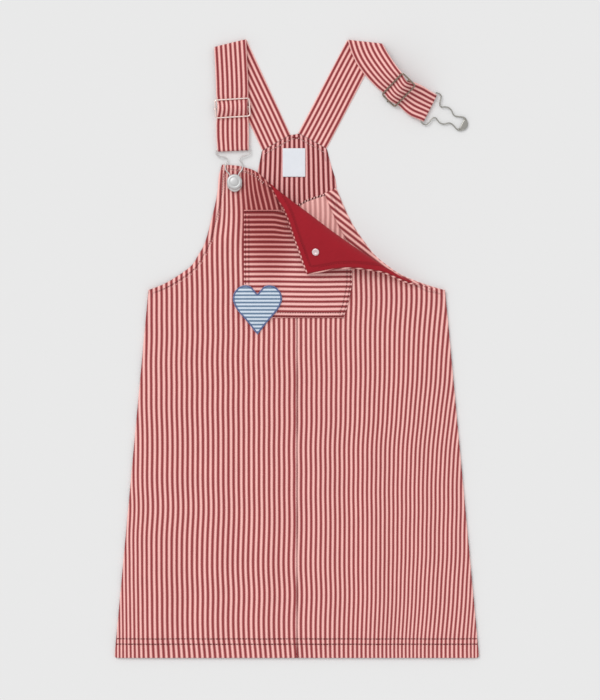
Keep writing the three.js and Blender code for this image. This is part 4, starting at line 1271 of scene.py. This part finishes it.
# The yoke has a row inside its top edge, where the straps are sewn on. Its seam is overlocked in two
# threads, each stitch of one between two of the other.
yokeSewing = {
    "top": [(-32, 195), (-5.5, 209.3), (1, 210.9), (28.5, 195.8)],
    "blot": [(-4.6, 211.6), (-1.5, 210.6), (0.6, 210.8)],
    "step": 1.6, "lean": 55, "blotLean": 80,
}
onYoke = clothThick + 0.05
topLine = spaced(yokeSewing["top"], 2, False)
seam("back_yoke", [topLine], flatOn(0), onYoke, "fine", paleThread)
yokeLow = spaced([(x + 0.2, y + 0.4) for x, y in yoke["seam"][::-1]], 2, False)
seamLine = np.concatenate([yokeLow[:0:-1] * (-1, 1), yokeLow])
seamLine = spaced(seamLine, yokeSewing["step"], False)[1:-1]
for line, material in ((seamLine, paleThread), (seamLine[1:-1], darkThread)):
    seam(
        "back_yoke", [line], flatOn(0), onYoke, "overlock", material, lean=yokeSewing["lean"],
        unevenness=0.1,
    )
blot = spaced(yokeSewing["blot"], 0.6, False)
seam("back_yoke", [blot], flatOn(0), onYoke + 0.2, "tack", redThread, lean=yokeSewing["blotLean"])
print("stitches sewn")


wireSides, turnedSides = 10, 48


# A smooth loop through points, with some new ones in each stretch
def smoothLoop(points, each):
    here = np.array(points, float)
    before, there, after = (np.roll(here, step, axis=0) for step in (1, -1, -2))
    low, high = (there - before) / 2, (after - here) / 2
    made = []
    for t in np.arange(each) / each:
        a, b = 2 * t**3 - 3 * t**2 + 1, t**3 - 2 * t**2 + t
        made.append(a * here + b * low + (1 - a) * there + (t**3 - t**2) * high)
    return np.stack(made, axis=1).reshape(-1, here.shape[1])


# A round wire along a line in its own plane
def wire(line, radius, closed):
    sides = wireSides
    line = np.array(line, float)
    ways = np.roll(line, -1, axis=0) - np.roll(line, 1, axis=0) if closed else np.gradient(line, axis=0)
    ways = ways / np.hypot(*ways.T)[:, None]
    turn = 2 * np.pi * np.arange(sides) / sides
    out = radius * np.cos(turn)
    x = line[:, 0, None] + out * ways[:, 1, None]
    y = line[:, 1, None] - out * ways[:, 0, None]
    z = np.broadcast_to(radius * np.sin(turn), x.shape)
    count = len(line)
    faces = []
    for ring in range(count if closed else count - 1):
        after = (ring + 1) % count
        for side in range(sides):
            turned = (side + 1) % sides
            low, high = ring * sides, after * sides
            faces.append((low + side, high + side, high + turned, low + turned))
    if not closed:
        faces += [tuple(range(sides)), tuple(range(count * sides - 1, (count - 1) * sides - 1, -1))]
    return np.stack([x, y, z], axis=-1).reshape(-1, 3), faces


# A turned shape from its profile, from the middle of its foot to the middle of its top
def turnedShape(profile, middle=(0, 0)):
    sides = turnedSides
    turn = 2 * np.pi * np.arange(sides) / sides
    rows = [(r, z) for r, z in profile if r > 0]
    rings = []
    for r, z in rows:
        x, y = middle[0] + r * np.cos(turn), middle[1] + r * np.sin(turn)
        rings.append(np.stack([x, y, np.full(sides, z)], axis=1))
    positions = np.concatenate([*rings, [(*middle, profile[0][1]), (*middle, profile[-1][1])]])
    faces = []
    last = (len(rows) - 1) * sides
    foot, top = len(positions) - 2, len(positions) - 1
    for side in range(sides):
        turned = (side + 1) % sides
        for ring in range(len(rows) - 1):
            low = ring * sides
            faces.append((low + side, low + turned, low + sides + turned, low + sides + side))
        faces += [(foot, turned, side), (top, last + side, last + turned)]
    return positions, faces


def joined(*shapes):
    positions, faces, first = [], [], 0
    for points, polygons in shapes:
        positions.append(points)
        faces += [tuple(first + k for k in polygon) for polygon in polygons]
        first += len(points)
    return np.concatenate(positions), faces


def unit(vector):
    return vector / np.linalg.norm(vector)


# Puts a shape in the plane of a strap's hardware, its Y along the strap
def putOnStrap(shape, laid, aside, along, turn, tilt):
    along = np.array(float(along))
    at = laid.turned(np.array(float(aside)), along, 0)
    right = laid.turned(np.array(float(aside + 1)), along, 0) - at
    ahead = np.array([*laid.run(along)[1], 0])
    out = unit(np.cross(right, ahead))
    basis = np.stack([np.cross(ahead, out), ahead, out], axis=1)
    turned = Matrix.Rotation(math.radians(turn), 3, "Z") @ Matrix.Rotation(math.radians(tilt), 3, "X")
    return at + shape[0] @ (basis @ np.array(turned)).T, shape[1]


# Stands a shape on the front's cloth, over its right side or its wrong side
def standOnFront(shape, spot, up):
    x, y = spot
    at = layFront(x, y, up)
    across = unit(layFront(x + 0.5, y, up) - at)
    out = unit(np.cross(across, layFront(x, y + 0.5, up) - at)) * (-1 if up < 0 else 1)
    basis = np.stack([across, np.cross(out, across), out], axis=1)
    return at + shape[0] @ basis.T, shape[1]


# A frame of wire with rounded corners, and a bar across it that ends in a small nub
def sliderShape():
    halfWide, halfLong, corner, thick = (slider[key] for key in ("halfWide", "halfLong", "corner", "wire"))
    loop = []
    for quarter, (sideX, sideY) in enumerate(((1, 1), (-1, 1), (-1, -1), (1, -1))):
        for share in np.linspace(0, 1, 7):
            turn = (quarter + share) * np.pi / 2
            x = sideX * (halfWide - corner) + corner * math.cos(turn)
            loop.append((x, sideY * (halfLong - corner) + corner * math.sin(turn)))
    nubEnd = halfWide + slider["nub"]
    bar = wire([(-halfWide, 0), (0, 0), (nubEnd - 0.4, 0)], thick * 0.9, False)
    nub = wire([(halfWide - 1.4, 0), (halfWide, 0), (nubEnd, 0)], thick * 0.98, False)
    return joined(wire(loop, thick, True), bar, nub)


# A bent wire round the strap's bar, with a pressed plate and two knobs at its far end
def clipShape():
    toBar = barWrap + clothThick / 2
    right = [(half, reach + toBar) for reach, half in clip["edge"]]
    left = [(-x, y) for x, y in right[::-1]]
    loop = smoothLoop([*right, *left, (-10, 0), (0, 0), (10, 0)], 4)
    low, high, half = clip["plateFrom"], clip["plateTo"], clip["plateHalf"]
    turns = np.linspace(0, np.pi, 25)
    top = low + toBar + (high - low) * np.sin(turns) ** clip["plateRound"]
    edge = np.stack([half * np.cos(turns), top], axis=1)
    middle = np.array([0, low + toBar + 1.6])
    rings, faces = [], []
    for share, height in clip["dome"]:
        rings.append(np.column_stack([middle + (edge - middle) * share, np.full(len(edge), height)]))
    count, last = len(edge), len(rings) - 1
    for ring in range(last):
        for k in range(count):
            turned = (k + 1) % count
            inner, outer = (ring + 1) * count, ring * count
            faces.append((outer + k, outer + turned, inner + turned, inner + k))
    faces += [tuple(range(last * count, (last + 1) * count)), tuple(range(count - 1, -1, -1))]
    plate = (np.concatenate(rings), faces)
    radius, knobAt = clip["knob"], toBar + low - 0.2
    ball = [(math.sin(a) * radius, -math.cos(a) * radius) for a in np.linspace(0, np.pi, 9)]
    ball[0], ball[-1] = (0, -radius), (0, radius)
    knobs = [turnedShape(ball, (side * (half + 0.3), knobAt)) for side in (-1, 1)]
    return joined(wire(loop, clip["wire"], True), plate, *knobs)


button = {
    "radius": 7.65, "under": 3.3, "post": 2.9,
    "leftAt": (-62.2, 166.5),           # on the front as it is cut
    "rightOnCorner": (78.8, 30.4),      # along the fold and across from it
    "crown": [                          # radius, height over the post
        (6.6, 1.75), (5.7, 2), (5.2, 1.95), (4.8, 1.7), (4.3, 1.72), (3.9, 2.1), (2.6, 2.35),
        (1.2, 2.46), (0, 2.5),
    ],
}


def buttonShape():
    radius, under, post = button["radius"], button["under"], button["post"]
    foot = [(0, 0), (post, 0), (post, under - 0.6)]
    rim = [
        (radius - 1.2, under), (radius - 0.1, under + 0.4), (radius, under + 0.8),
        (radius - 0.25, under + 1.25),
    ]
    return turnedShape([*foot, *rim, *[(r, under + z) for r, z in button["crown"]]])


tack = {                                # its profile in shares of the radius and the thickness
    "radius": 3.65, "thick": 0.7,
    "profile": [(0, 0), (1, 0), (1, 0.5), (0.9, 0.9), (0.7, 1), (0.4, 0.9), (0.3, 0.55), (0, 0.5)],
}


def tackShape():
    return turnedShape([(tack["radius"] * r, tack["thick"] * z) for r, z in tack["profile"]])


def hardwarePiece(node, shape, finish):
    pieces[node] = makeMesh(node + "_metal", *shape, [finish])


for side, strap in straps.items():
    laid = laidStraps[side]
    finish = roseSteel if side == "left" else wornSteel
    slid = putOnStrap(sliderShape(), laid, strap["sliderAside"], strap["slider"], strap["sliderTurn"], 0)
    hardwarePiece("slider_" + side, slid, finish)
    hooked = putOnStrap(clipShape(), laid, 0, strap["bar"], 0, strap["clipTilt"])
    hardwarePiece("clip_" + side, hooked, brightSteel if side == "left" else greySteel)
leftSpot = np.array(button["leftAt"])
rightSpot = np.array(unfold(*button["rightOnCorner"]))
buttonRise = clothThick / 2 + 1.5 * gap
hardwarePiece("button_left", standOnFront(buttonShape(), leftSpot, buttonRise), buttonSteel)
hardwarePiece("button_right", standOnFront(buttonShape(), rightSpot, buttonRise), buttonSteel)
flat, faces = tackShape()
hardwarePiece("tack_left", (flat + np.array([*leftSpot, 0]), faces), brightSteel)
hardwarePiece("tack_right", standOnFront(tackShape(), rightSpot, -facingFace - gap), tackSteel)
print("hardware made")

# Every piece stands for its node and rides on the dress; its cloth or metal slot is looked up but not kept
slots = {"neck_label": "white_tape", "bib_facing": "red_twill", "heart_patch": "blue_stripe"}
metalNodes = ("slider", "clip", "button", "tack")


def slotOf(node):
    return "steel" if node.startswith(metalNodes) else slots.get(node, "striped_twill")


for node, piece in pieces.items():
    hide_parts(node)
    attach(piece, "root")
    slotOf(node)
for node, sewn in seams.items():
    for piece in sewn:
        slotOf(node)


# The cut of each piece: its width, length and area, before it was laid or folded
def cutOf(outline):
    outline = np.asarray(outline, float)
    x, y = outline.T
    area = abs(np.sum(x * np.roll(y, -1) - np.roll(x, -1) * y)) / 2
    width, length = np.ptp(outline, axis=0)
    return (width * millimetre, length * millimetre), area * millimetre**2


facingFlat = np.stack(toFold(*facingOutline().T), axis=1)
wide, long = armholeFacing["width"], armholeFacing["length"]
biasStrip = [(0, 0), (wide, 0), (wide, long), (0, long)]
cuts = {
    "back_skirt": (backOutline(), "laid", ["floor"]),
    "back_yoke": (yokeOutline(), "laid", ["floor"]),
    "armhole_facing": (biasStrip, "laid", [pieces["back_skirt"]]),
    "neck_label": (labelOutline(), "laid", [pieces["back_yoke"]]),
    "front_left": (clipSide(wholeFront, -1), "laid", [pieces["back_skirt"]]),
    "front_right": (clipSide(wholeFront, 1), "folded", [pieces["back_skirt"]]),
    "bib_facing": (facingFlat, "folded", [pieces["front_right"]]),
    "pocket": (pocketOutline(), "laid", [pieces["front_left"], pieces["front_right"]]),
    "heart_patch": (heartOutline(), "laid", [pieces["pocket"], pieces["front_left"]]),
    "strap_left": (laidStraps["left"].outline(), "folded", ["floor", pieces["slider_left"]]),
    "strap_right": (laidStraps["right"].outline(), "folded", ["floor", pieces["slider_right"]]),
}
for node, (outline, held, under) in cuts.items():
    flat, area = cutOf(outline)
    on = [piece if isinstance(piece, str) else piece.name for piece in under]
    sewn = [piece.name for piece in seams.get(node, [])]
    print(node, "cut", [round(size, 4) for size in flat], round(area, 5))

room = {"floorHalf": 4000, "sky": 0.785, "sun": 1.1, "sunWide": 34, "sunFrom": (-1.2, 1.3, 1.9)}
floorFinish = Finish("pale floor", Base_Color=srgb(229, 229, 229), Roughness=1.0, Specular_IOR_Level=0.0)
half = room["floorHalf"]
corners = [(-half, -half, 0), (half, -half, 0), (half, half, 0), (-half, half, 0)]
floor = makeMesh("floor", corners, [(0, 1, 2, 3)], [floorFinish.material])
floor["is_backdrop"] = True

sky = bpy.data.worlds.new("soft room")
bpy.context.scene.world = sky
sky.use_nodes = True
sky.node_tree.nodes["Background"].inputs["Color"].default_value = (1, 1, 1, 1)
sky.node_tree.nodes["Background"].inputs["Strength"].default_value = room["sky"]


def sun(name, place, strength, angle):
    light = bpy.data.lights.new(name, "SUN")
    light.energy = strength
    light.angle = math.radians(angle)
    lamp = bpy.data.objects.new(name, light)
    lamp.location = place
    lamp.rotation_mode = "QUATERNION"
    lamp.rotation_quaternion = Vector(place).to_track_quat("Z", "Y")
    bpy.context.scene.collection.objects.link(lamp)


sun("key", room["sunFrom"], room["sun"], room["sunWide"])

view = {"sensor": 36, "distance": 3, "tall": 0.7, "place": (0.00325, -0.0015, 3.003)}
cameraData = bpy.data.cameras.new("overhead")
cameraData.sensor_width = view["sensor"]
cameraData.lens = view["sensor"] * view["distance"] / view["tall"]
camera = bpy.data.objects.new("overhead", cameraData)
camera.location = view["place"]
bpy.context.scene.collection.objects.link(camera)
bpy.context.scene.camera = camera
bpy.context.scene.view_settings.view_transform = "Standard"

print("floor, light and camera set")

low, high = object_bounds()
boxes = {"cad": [list(cadLow), list(cadHigh)], "visual": [list(low), list(high)]}
